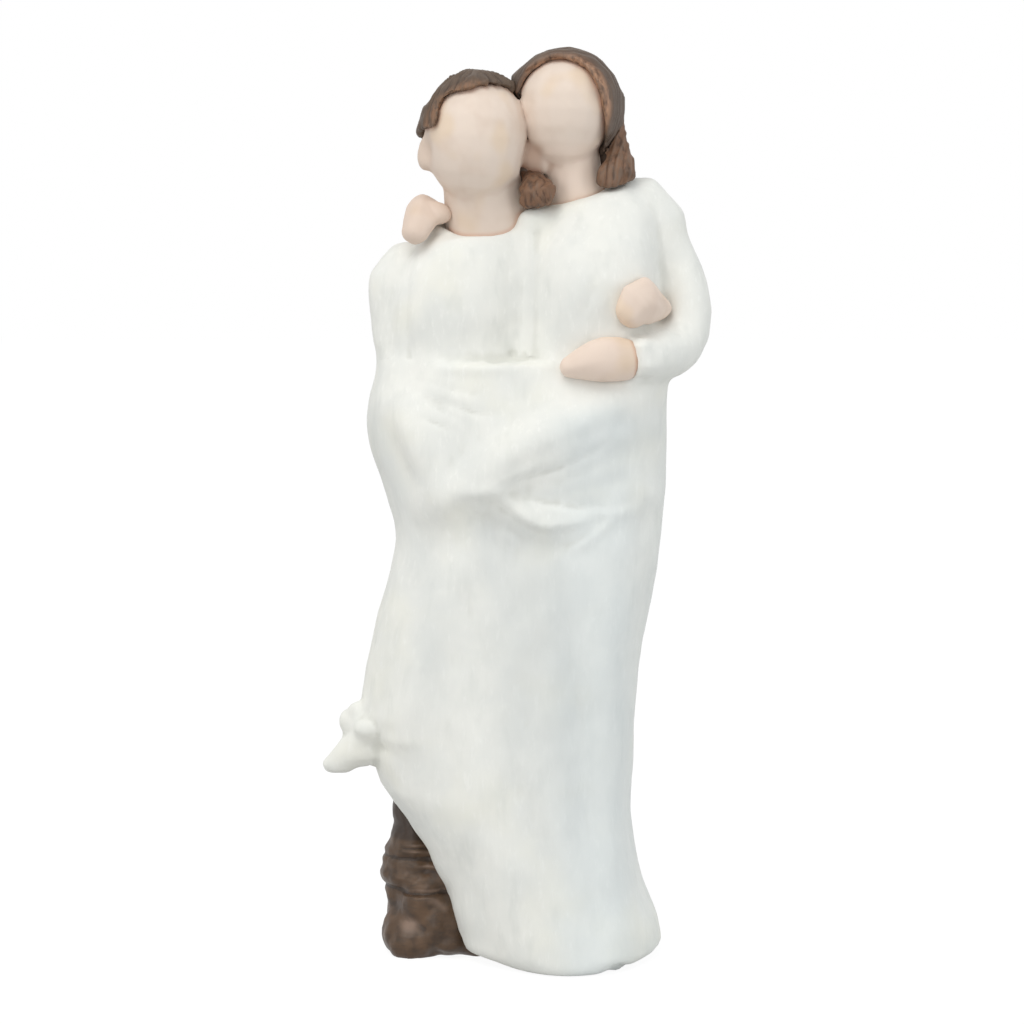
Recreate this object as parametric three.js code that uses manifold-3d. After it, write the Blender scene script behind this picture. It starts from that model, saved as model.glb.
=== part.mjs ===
// Wedding cake topper: a couple embracing inside one shared wrap, as a kit of painted castings glued together.
// Millimetres, +Z up, the couple faces -Y. "Left" and "right" in a name are the figure's own sides.
// Each casting is a function of one argument, the growth of its skin: 0 gives the casting itself, and the glue
// gap gives the pocket that it needs in its neighbours.
import * as THREE from "three";
import { mergeVertices } from "three/addons/utils/BufferGeometryUtils.js";
import Module from "manifold-3d";

const wasm = await Module();
wasm.setup();

// Glue joints
const GLUE_GAP = 0.3; // between two castings
const CUT_OVERRUN = 8; // how far a cutter runs past what it cuts

// Shorter partner, head
const SHORTER_CROWN_HEIGHT = 26.2; // collar to the top of the hair
const SHORTER_HEAD_HEIGHT = 20.2;
const SHORTER_HEAD_WIDTH = 16.2;
const SHORTER_HEAD_DEPTH = 18;
const SHORTER_HEAD_X = -7;
const SHORTER_HEAD_Y = -2.4;
const SHORTER_HAIR = 1.2; // thickness of the short hair
const SHORTER_NECK_RADIUS = 6.3;
const SHORTER_EAR_HEIGHT = 6.2;
const SHORTER_EAR_WIDTH = 2.9;

// Shorter partner, body
const SHORTER_BODY_X = -10.4;
const SHORTER_CHEST_HEIGHT = 21.4; // top edge of the wrap to the collar
const SHORTER_CHEST_WIDTH = 23;
const SHORTER_CHEST_DEPTH = 18;
const SHORTER_SLEEVE_RADIUS = 5.2;
const SHORTER_LEG_RADIUS = 4.8;
const SHORTER_STANCE = 9.2; // between the middles of the two legs
const SHORTER_LEG_X = -17.3; // the outer leg
const SHORTER_LEG_Y = 1.6;
const SHOE_LENGTH = 15.5;
const SHOE_WIDTH = 11.2;
const SHOE_HEIGHT = 9.2;

// Taller partner, head
const TALLER_CROWN_HEIGHT = 23.5; // collar to the top of the hair
const TALLER_HEAD_HEIGHT = 18;
const TALLER_HEAD_WIDTH = 15.8;
const TALLER_HEAD_DEPTH = 17.4;
const TALLER_HEAD_X = 7.9;
const TALLER_HEAD_Y = 0.8;
const TALLER_HAIR = 1.5;
const TALLER_HAIR_LENGTH = 31; // crown to the ends on the back
const TALLER_NECK_RADIUS = 4.8;

// Taller partner, body
const TALLER_BODY_X = 12.4;
const TALLER_CHEST_HEIGHT = 27.9; // top edge of the wrap to the collar
const TALLER_CHEST_WIDTH = 22.6;
const TALLER_CHEST_DEPTH = 20.5;
const TALLER_SLEEVE_RADIUS = 4.7;

// Hands
const HAND_WIDTH = 6.4;
const HAND_THICKNESS = 4.2;

// Wrap
const WRAP_HEIGHT = 98.6;
const WRAP_WIDTH = 49.2;
const WRAP_DEPTH = 38;
const WRAP_BACK = 17.5; // from the middle plane to the hem's rearmost point
const WRAP_PLUG = 9; // how deep the two torsos plug into the wrap
const FOLD_HEIGHT = 1.1; // crest of the main folds above the drape
const HEM_CORNER_REACH = 7.9; // tip of the blown corner out from the drape
const HEM_CORNER_HEIGHT = 33;
const HEM_CORNER_RADIUS = 4.2;

// The figures stand up out of the wrap, so their heights are counted from its top edge.
const shorterCollar = WRAP_HEIGHT + SHORTER_CHEST_HEIGHT;
const shorterStature = shorterCollar + SHORTER_CROWN_HEIGHT;
const tallerCollar = WRAP_HEIGHT + TALLER_CHEST_HEIGHT;
const tallerStature = tallerCollar + TALLER_CROWN_HEIGHT;

const DEGREE = Math.PI / 180;
const point = (x, y, z) => new THREE.Vector3(x, y, z);
const mix = THREE.MathUtils.lerp;

// A number that runs smoothly through a row of values, share going from 0 to 1 along the row.
function along(values, share) {
  const last = values.length - 1;
  const place = THREE.MathUtils.clamp(share, 0, 1) * last;
  const i = Math.min(Math.floor(place), last - 1);
  const t = place - i;
  const before = values[Math.max(i - 1, 0)];
  const after = values[Math.min(i + 2, last)];
  const slopeIn = (values[i + 1] - before) / 2;
  const slopeOut = (after - values[i]) / 2;
  const t2 = t * t;
  const t3 = t2 * t;
  return (
    (2 * t3 - 3 * t2 + 1) * values[i] +
    (t3 - 2 * t2 + t) * slopeIn +
    (3 * t2 - 2 * t3) * values[i + 1] +
    (t3 - t2) * slopeOut
  );
}

// The same through rows of [key, value, value...]: the values where the key is reached.
function station(rows, key) {
  let i = 0;
  while (i < rows.length - 2 && rows[i + 1][0] < key) i++;
  const t = THREE.MathUtils.clamp((key - rows[i][0]) / (rows[i + 1][0] - rows[i][0]), 0, 1);
  const place = (i + t) / (rows.length - 1);
  return rows[0].slice(1).map((_, k) => along(rows.map((row) => row[k + 1]), place));
}

// A closed body through rings of equal count, with a fan over each end.
function loft(rings) {
  const sides = rings[0].length;
  const middle = (ring) => ring.reduce((sum, p) => sum.add(p), point(0, 0, 0)).divideScalar(sides);
  const points = [...rings.flat(), middle(rings[0]), middle(rings.at(-1))];
  const foot = points.length - 2;
  const head = points.length - 1;
  const faces = [];
  for (let k = 0; k < rings.length - 1; k++) {
    for (let i = 0; i < sides; i++) {
      const j = (i + 1) % sides;
      const [a, b, c, d] = [k * sides + i, k * sides + j, (k + 1) * sides + j, (k + 1) * sides + i];
      faces.push(a, b, c, a, c, d);
    }
  }
  const top = (rings.length - 1) * sides;
  for (let i = 0; i < sides; i++) {
    const j = (i + 1) % sides;
    faces.push(foot, j, i, head, top + i, top + j);
  }
  return new THREE.BufferGeometry().setFromPoints(points).setIndex(faces);
}

// A closed geometry as a manifold-3d solid, facing out.
function solid(geometry) {
  const bare = geometry.clone();
  bare.deleteAttribute("normal");
  bare.deleteAttribute("uv");
  const merged = mergeVertices(bare);
  const corners = new Uint32Array(merged.index.array);
  const build = (triVerts) =>
    new wasm.Manifold(
      new wasm.Mesh({ numProp: 3, vertProperties: merged.attributes.position.array, triVerts }),
    );
  const made = build(corners);
  return made.volume() > 0 ? made : build(corners.reverse());
}

// A level oval ring whose four reaches are set one by one; lift tips it, and relief pushes a point outwards.
function oval({ x, y, z, left, right, front, back, power = 2.3, sides, lift, relief }) {
  const round = (c) => Math.sign(c) * Math.abs(c) ** (2 / power);
  return Array.from({ length: sides }, (_, i) => {
    const a = (i / sides) * 2 * Math.PI;
    const across = round(Math.cos(a));
    const deep = round(Math.sin(a));
    const out = relief ? relief(a, z, across, deep) : 0;
    const px = x + across * (across < 0 ? left : right) + Math.cos(a) * out;
    const py = y + deep * (deep < 0 ? front : back) + Math.sin(a) * out;
    return point(px, py, z + (lift ? lift(px, py) : 0));
  });
}

// A round-ended body along a curve. Radii are [across, other way] pairs at the curve's points, and side says
// which way "across" points where the curve starts.
function limb(points, radii, { side, sides = 16, steps = 10, cap = 0.7, grow = 0, relief } = {}) {
  const curve = new THREE.CatmullRomCurve3(points, false, "centripetal");
  const capSteps = 3;
  const stations = [];
  for (let k = 0; k <= steps; k++) {
    const share = k / steps;
    const t = curve.getUtoTmapping(share);
    const at = (n) => along(radii.map((r) => r[n]), t) + grow;
    stations.push({ share, centre: curve.getPoint(t), way: curve.getTangent(t), a: at(0), b: at(1) });
  }
  const ends = [stations[0], stations.at(-1)].map((end, n) => {
    const sign = n ? 1 : -1;
    const reach = cap * Math.min(end.a, end.b) + grow * (1 - cap);
    return Array.from({ length: capSteps }, (_, k) => {
      const turn = ((k + 1) / (capSteps + 0.4)) * (Math.PI / 2);
      const centre = end.centre.clone().addScaledVector(end.way, sign * reach * Math.sin(turn));
      return { ...end, centre, a: end.a * Math.cos(turn), b: end.b * Math.cos(turn) };
    });
  });
  const all = [...ends[0].reverse(), ...stations, ...ends[1]];
  let across = side.clone();
  let way = all[0].way;
  const rings = all.map((s) => {
    across.applyQuaternion(new THREE.Quaternion().setFromUnitVectors(way, s.way));
    way = s.way;
    across = across.addScaledVector(way, -across.dot(way)).normalize();
    const other = way.clone().cross(across);
    return Array.from({ length: sides }, (_, i) => {
      const turn = (i / sides) * 2 * Math.PI;
      const out = relief ? relief(s.share, turn) : 0;
      return s.centre
        .clone()
        .addScaledVector(across, Math.cos(turn) * (s.a + out))
        .addScaledVector(other, Math.sin(turn) * (s.b + out));
    });
  });
  return solid(loft(rings));
}

// Places a solid made round its own origin: turned about X, then Y, then Z, and moved.
function placed(made, { at, nod = 0, tilt = 0, turn = 0 }) {
  const matrix = new THREE.Matrix4()
    .makeRotationZ(turn)
    .multiply(new THREE.Matrix4().makeRotationY(tilt))
    .multiply(new THREE.Matrix4().makeRotationX(nod))
    .setPosition(at);
  return made.transform(matrix.elements);
}

// A head: a plain egg that narrows to the chin, its middle at the origin.
const CHIN_FORWARD_SHARE = 0.09;
function egg({ width, depth, height, taper }, grow, { sides = 18, levels = 10, relief } = {}) {
  const rings = [];
  for (let k = 1; k < levels; k++) {
    const a = (k / levels) * Math.PI;
    const rise = -Math.cos(a);
    const girth = Math.sin(a) * (1 + taper * rise);
    const chin = ((1 - rise) / 2) ** 2;
    const half = (size) => girth * (size / 2 + grow);
    rings.push(
      oval({
        x: 0,
        y: -chin * CHIN_FORWARD_SHARE * depth,
        z: rise * (height / 2 + grow),
        left: half(width),
        right: half(width),
        front: half(depth),
        back: half(depth),
        power: 2.15,
        sides,
        relief: relief && ((turn) => relief(turn, rise)),
      }),
    );
  }
  return solid(loft(rings));
}

// Shorter partner: the places that its pieces share
const shorterHead = {
  width: SHORTER_HEAD_WIDTH,
  depth: SHORTER_HEAD_DEPTH,
  height: SHORTER_HEAD_HEIGHT,
  taper: 0.02,
};
const shorterHeadPlace = {
  at: point(SHORTER_HEAD_X, SHORTER_HEAD_Y, shorterStature - SHORTER_HAIR - SHORTER_HEAD_HEIGHT / 2),
  tilt: 6 * DEGREE,
  turn: 8 * DEGREE,
};
const shorterShoulder = point(
  SHORTER_BODY_X - SHORTER_CHEST_WIDTH * 0.385,
  SHORTER_CHEST_DEPTH * 0.06,
  shorterCollar - SHORTER_SLEEVE_RADIUS * 1.5,
);

// Taller partner
const tallerHead = {
  width: TALLER_HEAD_WIDTH,
  depth: TALLER_HEAD_DEPTH,
  height: TALLER_HEAD_HEIGHT,
  taper: 0.1,
};
const tallerHeadPlace = {
  at: point(TALLER_HEAD_X, TALLER_HEAD_Y, tallerStature - TALLER_HAIR - TALLER_HEAD_HEIGHT / 2),
  tilt: 3 * DEGREE,
  turn: -6 * DEGREE,
};
const tallerShoulder = point(
  TALLER_BODY_X + TALLER_CHEST_WIDTH * 0.38,
  TALLER_CHEST_DEPTH * 0.08,
  tallerCollar - TALLER_SLEEVE_RADIUS * 0.8,
);

// A torso: level ovals from the plug in the wrap up to the neckline, which is tipped.
// Rows are [height, left, right, front, back] as shares of the torso's own sizes.
function torso({ x, width, depth, foot, collar, rowShares, sides, levels, lift }, grow) {
  const rings = [];
  for (let k = 0; k <= levels; k++) {
    const share = k / levels;
    const [left, right, front, back] = station(rowShares, share);
    const end = k === 0 ? -grow : k === levels ? grow : 0;
    rings.push(
      oval({
        x,
        y: 0,
        z: mix(foot, collar, share) + end,
        left: left * width + grow,
        right: right * width + grow,
        front: front * depth + grow,
        back: back * depth + grow,
        power: 2.4,
        sides,
        lift: (px, py) => share ** 3 * lift(px - x, py),
      }),
    );
  }
  return solid(loft(rings));
}

const SHIRT_ROW_SHARES = [
  [0, 0.42, 0.44, 0.47, 0.39],
  [0.3, 0.46, 0.48, 0.53, 0.43],
  [0.55, 0.46, 0.52, 0.56, 0.44],
  [0.75, 0.44, 0.52, 0.53, 0.44],
  [0.87, 0.36, 0.52, 0.49, 0.43],
  [0.95, 0.26, 0.52, 0.46, 0.43],
  [1, 0.17, 0.51, 0.43, 0.41],
];
const shirt = (grow) =>
  torso(
    {
      x: SHORTER_BODY_X,
      width: SHORTER_CHEST_WIDTH,
      depth: SHORTER_CHEST_DEPTH,
      foot: WRAP_HEIGHT - WRAP_PLUG,
      collar: shorterCollar,
      rowShares: SHIRT_ROW_SHARES,
      sides: 24,
      levels: 8,
      lift: (px, py) => 0.2 * py + 0.14 * px,
    },
    grow,
  );

const BODICE_ROW_SHARES = [
  [0, 0.46, 0.44, 0.5, 0.39],
  [0.28, 0.505, 0.46, 0.56, 0.42],
  [0.52, 0.51, 0.48, 0.59, 0.43],
  [0.7, 0.51, 0.49, 0.56, 0.42],
  [0.84, 0.49, 0.46, 0.46, 0.38],
  [0.94, 0.45, 0.39, 0.36, 0.33],
  [1, 0.37, 0.28, 0.29, 0.28],
];
const bodice = (grow) =>
  torso(
    {
      x: TALLER_BODY_X,
      width: TALLER_CHEST_WIDTH,
      depth: TALLER_CHEST_DEPTH,
      foot: WRAP_HEIGHT - WRAP_PLUG,
      collar: tallerCollar,
      rowShares: BODICE_ROW_SHARES,
      sides: 24,
      levels: 8,
      lift: (px, py) => 0.2 * py + 0.28 * px,
    },
    grow,
  );

const NECK_SHARES = [0.9, 0.96, 1.02];
function neck(head, base, radius, grow) {
  const top = head.at.clone().lerp(base, 0.12);
  const middle = top.clone().lerp(base, 0.62);
  const radii = NECK_SHARES.map((share) => [radius * share, radius * share]);
  return limb([top, middle, base], radii, { side: point(1, 0, 0), sides: 14, steps: 4, cap: 0.5, grow });
}

const shorterNeckBase = point(
  SHORTER_HEAD_X + SHORTER_NECK_RADIUS * 0.34,
  SHORTER_HEAD_Y + SHORTER_NECK_RADIUS * 0.5,
  shorterCollar - SHORTER_NECK_RADIUS * 0.8,
);
function shorterHeadCasting(grow) {
  const ear = placed(
    solid(
      new THREE.SphereGeometry(1, 10, 6).scale(
        SHORTER_EAR_WIDTH / 2 + grow,
        SHORTER_EAR_HEIGHT * 0.33 + grow,
        SHORTER_EAR_HEIGHT / 2 + grow,
      ),
    ),
    {
      at: point(-SHORTER_HEAD_WIDTH * 0.46, SHORTER_HEAD_DEPTH * 0.03, -SHORTER_HEAD_HEIGHT * 0.16),
      turn: 23 * DEGREE,
    },
  );
  return placed(egg(shorterHead, grow).add(ear), shorterHeadPlace).add(
    neck(shorterHeadPlace, shorterNeckBase, SHORTER_NECK_RADIUS, grow),
  );
}

const tallerNeckBase = point(
  mix(TALLER_HEAD_X, TALLER_BODY_X, 0.6),
  TALLER_HEAD_Y + TALLER_NECK_RADIUS * 0.3,
  tallerCollar - TALLER_NECK_RADIUS * 1.7,
);
const tallerHeadCasting = (grow) =>
  placed(egg(tallerHead, grow), tallerHeadPlace).add(
    neck(tallerHeadPlace, tallerNeckBase, TALLER_NECK_RADIUS, grow),
  );

// The opening that the hair leaves for the face: its hairline, as shares of the head, run through
// from the front.
function faceOpening({ width, depth, height }, { at }, hairlineShares, deep, grow) {
  const line = new THREE.SplineCurve(
    hairlineShares.map(([x, z]) => new THREE.Vector2(x * width, z * height - grow)),
  ).getPoints(hairlineShares.length * 2);
  const outline = [...line, new THREE.Vector2(width, -height), new THREE.Vector2(-width, -height)];
  return solid(
    new THREE.ExtrudeGeometry(new THREE.Shape(outline), { depth: depth + CUT_OVERRUN, bevelEnabled: false })
      .rotateX(Math.PI / 2)
      .translate(at.x, at.y + deep * depth - grow, at.z),
  );
}

const HAIR_LOCKS = 11; // combed waves round the short hair
const SHORTER_HAIRLINE_SHARES = [
  [-0.64, 0.01],
  [-0.46, 0.01],
  [-0.395, 0.08],
  [-0.35, 0.21],
  [-0.29, 0.31],
  [-0.1, 0.36],
  [0.11, 0.41],
  [0.26, 0.41],
  [0.45, 0.38],
  [0.62, 0.3],
];
// The nape: [back, up] corners of what is cut away below the hair
const NAPE_SHARES = [
  [-1, 0.02],
  [0.04, 0.02],
  [0.18, -0.06],
  [0.32, -0.34],
  [1, -0.38],
  [1, -1],
  [-1, -1],
];
function shorterHair(grow) {
  const wave = (turn, rise) => 0.22 * SHORTER_HAIR * Math.cos(HAIR_LOCKS * turn + 3 * rise);
  const cap = egg(shorterHead, SHORTER_HAIR + grow, { sides: 24, levels: 10, relief: wave });
  const face = faceOpening(shorterHead, shorterHeadPlace, SHORTER_HAIRLINE_SHARES, -0.02, grow);
  const nape = NAPE_SHARES.map(
    ([y, z]) => new THREE.Vector2(y * SHORTER_HEAD_DEPTH, z * SHORTER_HEAD_HEIGHT - grow),
  );
  const span = SHORTER_HEAD_WIDTH + CUT_OVERRUN;
  const below = new THREE.ExtrudeGeometry(new THREE.Shape(nape), { depth: span, bevelEnabled: false })
    .translate(0, 0, -span / 2)
    .applyMatrix4(new THREE.Matrix4().makeBasis(point(0, 1, 0), point(0, 0, 1), point(1, 0, 0)));
  return placed(cap.subtract(solid(below)), shorterHeadPlace).subtract(face);
}

// Hair of the taller partner: the cap with its face opening, and the fall down the back, whose rows are
// [height, half width, front, back] as shares of the hair's length and the head
const TALLER_HAIRLINE_SHARES = [
  [-0.7, 0.1],
  [-0.52, 0.22],
  [-0.42, 0.34],
  [-0.27, 0.43],
  [-0.11, 0.47],
  [0.1, 0.43],
  [0.25, 0.31],
  [0.35, 0.11],
  [0.4, -0.12],
  [0.4, -0.3],
  [0.35, -0.5],
];
const HAIR_FALL_SHARES = [
  [0, 0.32, -0.3, 0.5],
  [0.08, 0.44, -0.22, 0.6],
  [0.3, 0.52, -0.12, 0.64],
  [0.55, 0.52, -0.04, 0.62],
  [0.8, 0.5, 0, 0.58],
  [1, 0.3, 0.06, 0.44],
];
const tallerCrown = tallerHeadPlace.at.z + TALLER_HEAD_HEIGHT / 2 + TALLER_HAIR;
function tallerHair(grow) {
  const wave = (turn, rise) => 0.2 * TALLER_HAIR * Math.cos(HAIR_LOCKS * turn + 2 * rise);
  const cap = egg(tallerHead, TALLER_HAIR + grow, { sides: 24, levels: 10, relief: wave });
  const face = faceOpening(tallerHead, tallerHeadPlace, TALLER_HAIRLINE_SHARES, -0.04, grow);
  const rings = [];
  const levels = 7;
  for (let k = 0; k <= levels; k++) {
    const share = k / levels;
    const [half, front, back] = station(HAIR_FALL_SHARES, share);
    rings.push(
      oval({
        x: mix(TALLER_BODY_X, TALLER_HEAD_X, 0.4 + 0.6 * share),
        y: TALLER_HEAD_Y,
        z: mix(tallerCrown - TALLER_HAIR_LENGTH, tallerCrown - TALLER_HEAD_HEIGHT * 0.3, share),
        left: half * TALLER_HEAD_WIDTH + grow,
        right: half * TALLER_HEAD_WIDTH + grow,
        front: front * TALLER_HEAD_DEPTH + grow,
        back: back * TALLER_HEAD_DEPTH + grow,
        power: 2.5,
        sides: 20,
        relief: (turn) => 0.2 * TALLER_HAIR * Math.cos(HAIR_LOCKS * turn + 4 * share),
      }),
    );
  }
  return placed(cap, tallerHeadPlace).subtract(face).add(solid(loft(rings)));
}

// The two locks that come forward over the shoulders, set round the neck
function lock(places, girths, grow) {
  const at = places.map(([x, y, z]) =>
    tallerHeadPlace.at
      .clone()
      .add(point(x * TALLER_HEAD_WIDTH, y * TALLER_HEAD_DEPTH, z * TALLER_HEAD_HEIGHT)),
  );
  const radii = girths.map((share) => [share * TALLER_HAIR, mix(1, share, 0.5) * TALLER_HAIR]);
  const twist = (share, turn) => 0.12 * TALLER_HAIR * Math.cos(4 * turn + 9 * share);
  return limb(at, radii, { side: point(1, 0, 0), sides: 12, steps: 7, cap: 0.6, grow, relief: twist });
}
const LEFT_LOCK_SHARES = [
  [0.5, 0, 0.1],
  [0.53, -0.04, -0.12],
  [0.54, -0.11, -0.31],
  [0.565, -0.19, -0.46],
  [0.55, -0.25, -0.58],
  [0.47, -0.27, -0.66],
];
const LEFT_LOCK_GIRTH_SHARES = [0.7, 0.85, 0.95, 1.35, 1.75, 1.3];
const RIGHT_LOCK_SHARES = [
  [-0.33, -0.05, -0.38],
  [-0.31, -0.2, -0.5],
  [-0.29, -0.34, -0.62],
  [-0.28, -0.4, -0.73],
  [-0.27, -0.42, -0.82],
];
const RIGHT_LOCK_GIRTH_SHARES = [0.8, 1, 1.5, 1.85, 1.5];
const tallerLeftLock = (grow) => lock(LEFT_LOCK_SHARES, LEFT_LOCK_GIRTH_SHARES, grow);
const tallerRightLock = (grow) => lock(RIGHT_LOCK_SHARES, RIGHT_LOCK_GIRTH_SHARES, grow);

// Wrap. Rows are [height, left, right, front, back] as shares of the wrap's height, width and depth.
const WRAP_ROW_SHARES = [
  [0, 0.085, 0.42, 0.54, 0.42],
  [0.018, 0.17, 0.492, 0.55, 0.45],
  [0.05, 0.19, 0.484, 0.53, 0.44],
  [0.1, 0.225, 0.438, 0.51, 0.425],
  [0.16, 0.27, 0.407, 0.495, 0.405],
  [0.235, 0.38, 0.383, 0.475, 0.39],
  [0.285, 0.462, 0.387, 0.465, 0.38],
  [0.33, 0.495, 0.391, 0.455, 0.37],
  [0.4, 0.53, 0.396, 0.44, 0.36],
  [0.5, 0.508, 0.415, 0.42, 0.35],
  [0.6, 0.462, 0.45, 0.405, 0.34],
  [0.695, 0.41, 0.48, 0.39, 0.33],
  [0.78, 0.443, 0.49, 0.39, 0.33],
  [0.86, 0.493, 0.5, 0.385, 0.325],
  [0.93, 0.5, 0.5, 0.36, 0.305],
  [1, 0.463, 0.498, 0.33, 0.285],
];
// The main folds on the front: [across, up] places as shares of the wrap's width and height, crest and breadth
// as shares of the fold's height and the wrap's width.
const WRAP_FOLD_SHARES = [
  { path: [[0.46, 0.97], [0.24, 0.915], [0, 0.86], [-0.09, 0.829], [-0.22, 0.775]], crest: 1.5, breadth: 0.055 },
  { path: [[0.46, 0.9], [0.34, 0.882], [0.15, 0.86], [0.04, 0.834], [-0.12, 0.788]], crest: 0.8, breadth: 0.035 },
  { path: [[-0.06, 0.782], [0.04, 0.753], [0.15, 0.741], [0.27, 0.748], [0.45, 0.78]], crest: 1, breadth: 0.04 },
  { path: [[-0.36, 0.92], [-0.33, 0.87], [-0.28, 0.83], [-0.27, 0.8], [-0.29, 0.765]], crest: 1.3, breadth: 0.05 },
  { path: [[-0.22, 0.64], [-0.3, 0.52], [-0.36, 0.41]], crest: 1, breadth: 0.06 },
  { path: [[0.08, 0.66], [0.1, 0.4], [0.14, 0.06]], crest: 0.7, breadth: 0.07 },
  { path: [[0.3, 0.7], [0.26, 0.4], [0.32, 0.04]], crest: 0.8, breadth: 0.06 },
  { path: [[-0.06, 0.5], [-0.1, 0.3], [-0.03, 0.06]], crest: 0.7, breadth: 0.07 },
];
const onWrap = ([x, z]) => point(x * WRAP_WIDTH, 0, z * WRAP_HEIGHT);
const folds = WRAP_FOLD_SHARES.map(({ path, crest, breadth }) => ({
  runs: path.slice(1).map((end, k) => new THREE.Line3(onWrap(path[k]), onWrap(end))),
  crest: crest * FOLD_HEIGHT,
  breadth: breadth * WRAP_WIDTH,
}));
const BACK_PLEATS = 9;
function wrapRelief(turn, x, z) {
  if (Math.sin(turn) > 0) {
    const fade = Math.sin(turn) * (1 - 0.6 * (z / WRAP_HEIGHT));
    return FOLD_HEIGHT * fade * Math.cos(BACK_PLEATS * turn + z / WRAP_HEIGHT);
  }
  const here = point(x, 0, z);
  const nearest = point(0, 0, 0);
  let out = 0;
  for (const { runs, crest, breadth } of folds) {
    const away = Math.min(...runs.map((run) => run.closestPointToPoint(here, true, nearest).distanceTo(here)));
    out += crest * Math.exp(-((away / breadth) ** 2));
  }
  return out * Math.min(1, -2 * Math.sin(turn));
}
// Heights of the rings, closer together where the main folds lie
const WRAP_LEVEL_SHARES = [
  0, 0.018, 0.06, 0.12, 0.18, 0.235, 0.285, 0.34, 0.41, 0.49, 0.57, 0.65, 0.7, 0.73, 0.755, 0.78, 0.805, 0.83,
  0.855, 0.88, 0.905, 0.935, 0.97, 1,
];
function drape(grow) {
  const middle = WRAP_BACK - 0.45 * WRAP_DEPTH;
  const rings = WRAP_LEVEL_SHARES.map((share, k) => {
    const [left, right, front, back] = station(WRAP_ROW_SHARES, share);
    const z = share * WRAP_HEIGHT;
    const end = share === 0 ? -grow : k === WRAP_LEVEL_SHARES.length - 1 ? grow : 0;
    const half = ((left + right) / 2) * WRAP_WIDTH;
    const x = right * WRAP_WIDTH - half;
    return oval({
      x,
      y: middle,
      z: z + end,
      left: half + grow,
      right: half + grow,
      front: front * WRAP_DEPTH + grow,
      back: back * WRAP_DEPTH + grow,
      power: Math.min(2.5, 2 + share),
      sides: 48,
      relief: (turn, _, across) => wrapRelief(turn, x + across * half, z),
    });
  });
  return solid(loft(rings));
}
// The hem's blown corner: a pointed tongue of cloth and the small knob above it
const HEM_TONGUE_SHARES = [
  [1.1, 1],
  [1.15, 1],
  [0.74, 0.62],
  [0.26, 0.26],
];
const HEM_KNOB_SHARES = [0.9, 0.8, 0.46];
function hemCorner(grow) {
  const [left] = station(WRAP_ROW_SHARES, HEM_CORNER_HEIGHT / WRAP_HEIGHT);
  const edge = -left * WRAP_WIDTH;
  const r = HEM_CORNER_RADIUS;
  const tip = edge - HEM_CORNER_REACH;
  const tongue = limb(
    [
      point(edge + r * 1.8, -r * 1.5, HEM_CORNER_HEIGHT + r * 2.8),
      point(edge + r * 0.5, -r * 1.2, HEM_CORNER_HEIGHT + r * 1.1),
      point(mix(edge, tip, 0.42), -r, HEM_CORNER_HEIGHT + r * 0.12),
      point(mix(edge, tip, 0.9), -r * 0.8, HEM_CORNER_HEIGHT - r * 0.3),
    ],
    HEM_TONGUE_SHARES.map((row) => row.map((share) => share * r)),
    { side: point(0, 0, 1), sides: 14, steps: 7, cap: 0.5, grow },
  );
  const knob = limb(
    [
      point(edge + r * 1.1, -r * 1.2, HEM_CORNER_HEIGHT + r * 1.9),
      point(edge, -r, HEM_CORNER_HEIGHT + r * 1.4),
      point(mix(edge, tip, 0.5), -r * 0.8, HEM_CORNER_HEIGHT + r * 1.5),
    ],
    HEM_KNOB_SHARES.map((share) => [share * r, share * r]),
    { side: point(0, 0, 1), sides: 12, steps: 5, cap: 0.5, grow },
  );
  return tongue.add(knob);
}
const wrap = (grow) => drape(grow).add(hemCorner(grow));

// Legs and shoes
const LEG_ROW_SHARES = [0.9, 0.93, 1.12, 1.08, 0.87, 0.68, 0.64, 0.64, 0.64];
const legTop = HEM_CORNER_HEIGHT + HEM_CORNER_RADIUS;
function leg(x, y, grow) {
  const foot = SHOE_HEIGHT * 0.55;
  const places = LEG_ROW_SHARES.map((_, k) => point(x, y, mix(foot, legTop, k / (LEG_ROW_SHARES.length - 1))));
  const radii = LEG_ROW_SHARES.map((share) => [share * SHORTER_LEG_RADIUS, share * SHORTER_LEG_RADIUS]);
  return limb(places, radii, { side: point(1, 0, 0), sides: 12, steps: 10, cap: 0.3, grow });
}
const SHOE_ROW_SHARES = [
  [0, 0.38, 0.53, 0.32],
  [0.08, 0.45, 0.57, 0.35],
  [0.2, 0.5, 0.6, 0.38],
  [0.42, 0.49, 0.58, 0.37],
  [0.66, 0.46, 0.46, 0.35],
  [0.85, 0.42, 0.3, 0.3],
  [1, 0.36, 0.18, 0.24],
];
function shoe(x, y, turn, grow) {
  const levels = 6;
  const rings = [];
  for (let k = 0; k <= levels; k++) {
    const share = (k / levels) ** 1.3;
    const [half, front, back] = station(SHOE_ROW_SHARES, share);
    const end = k === 0 ? -grow : k === levels ? grow : 0;
    rings.push(
      oval({
        x: 0,
        y: 0,
        z: share * SHOE_HEIGHT + end,
        left: half * SHOE_WIDTH + grow,
        right: half * SHOE_WIDTH + grow,
        front: front * SHOE_LENGTH + grow,
        back: back * SHOE_LENGTH + grow,
        power: 2.4,
        sides: 16,
      }),
    );
  }
  return placed(solid(loft(rings)), { at: point(x, y, 0), turn });
}
const innerLegX = SHORTER_LEG_X + SHORTER_STANCE;
const innerLegY = SHORTER_LEG_Y + SHORTER_LEG_RADIUS * 0.35;
const rightLeg = (grow) => leg(SHORTER_LEG_X, SHORTER_LEG_Y, grow);
const leftLeg = (grow) => leg(innerLegX, innerLegY, grow);
const rightShoe = (grow) => shoe(SHORTER_LEG_X + SHOE_WIDTH * 0.07, SHORTER_LEG_Y, -8 * DEGREE, grow);
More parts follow.
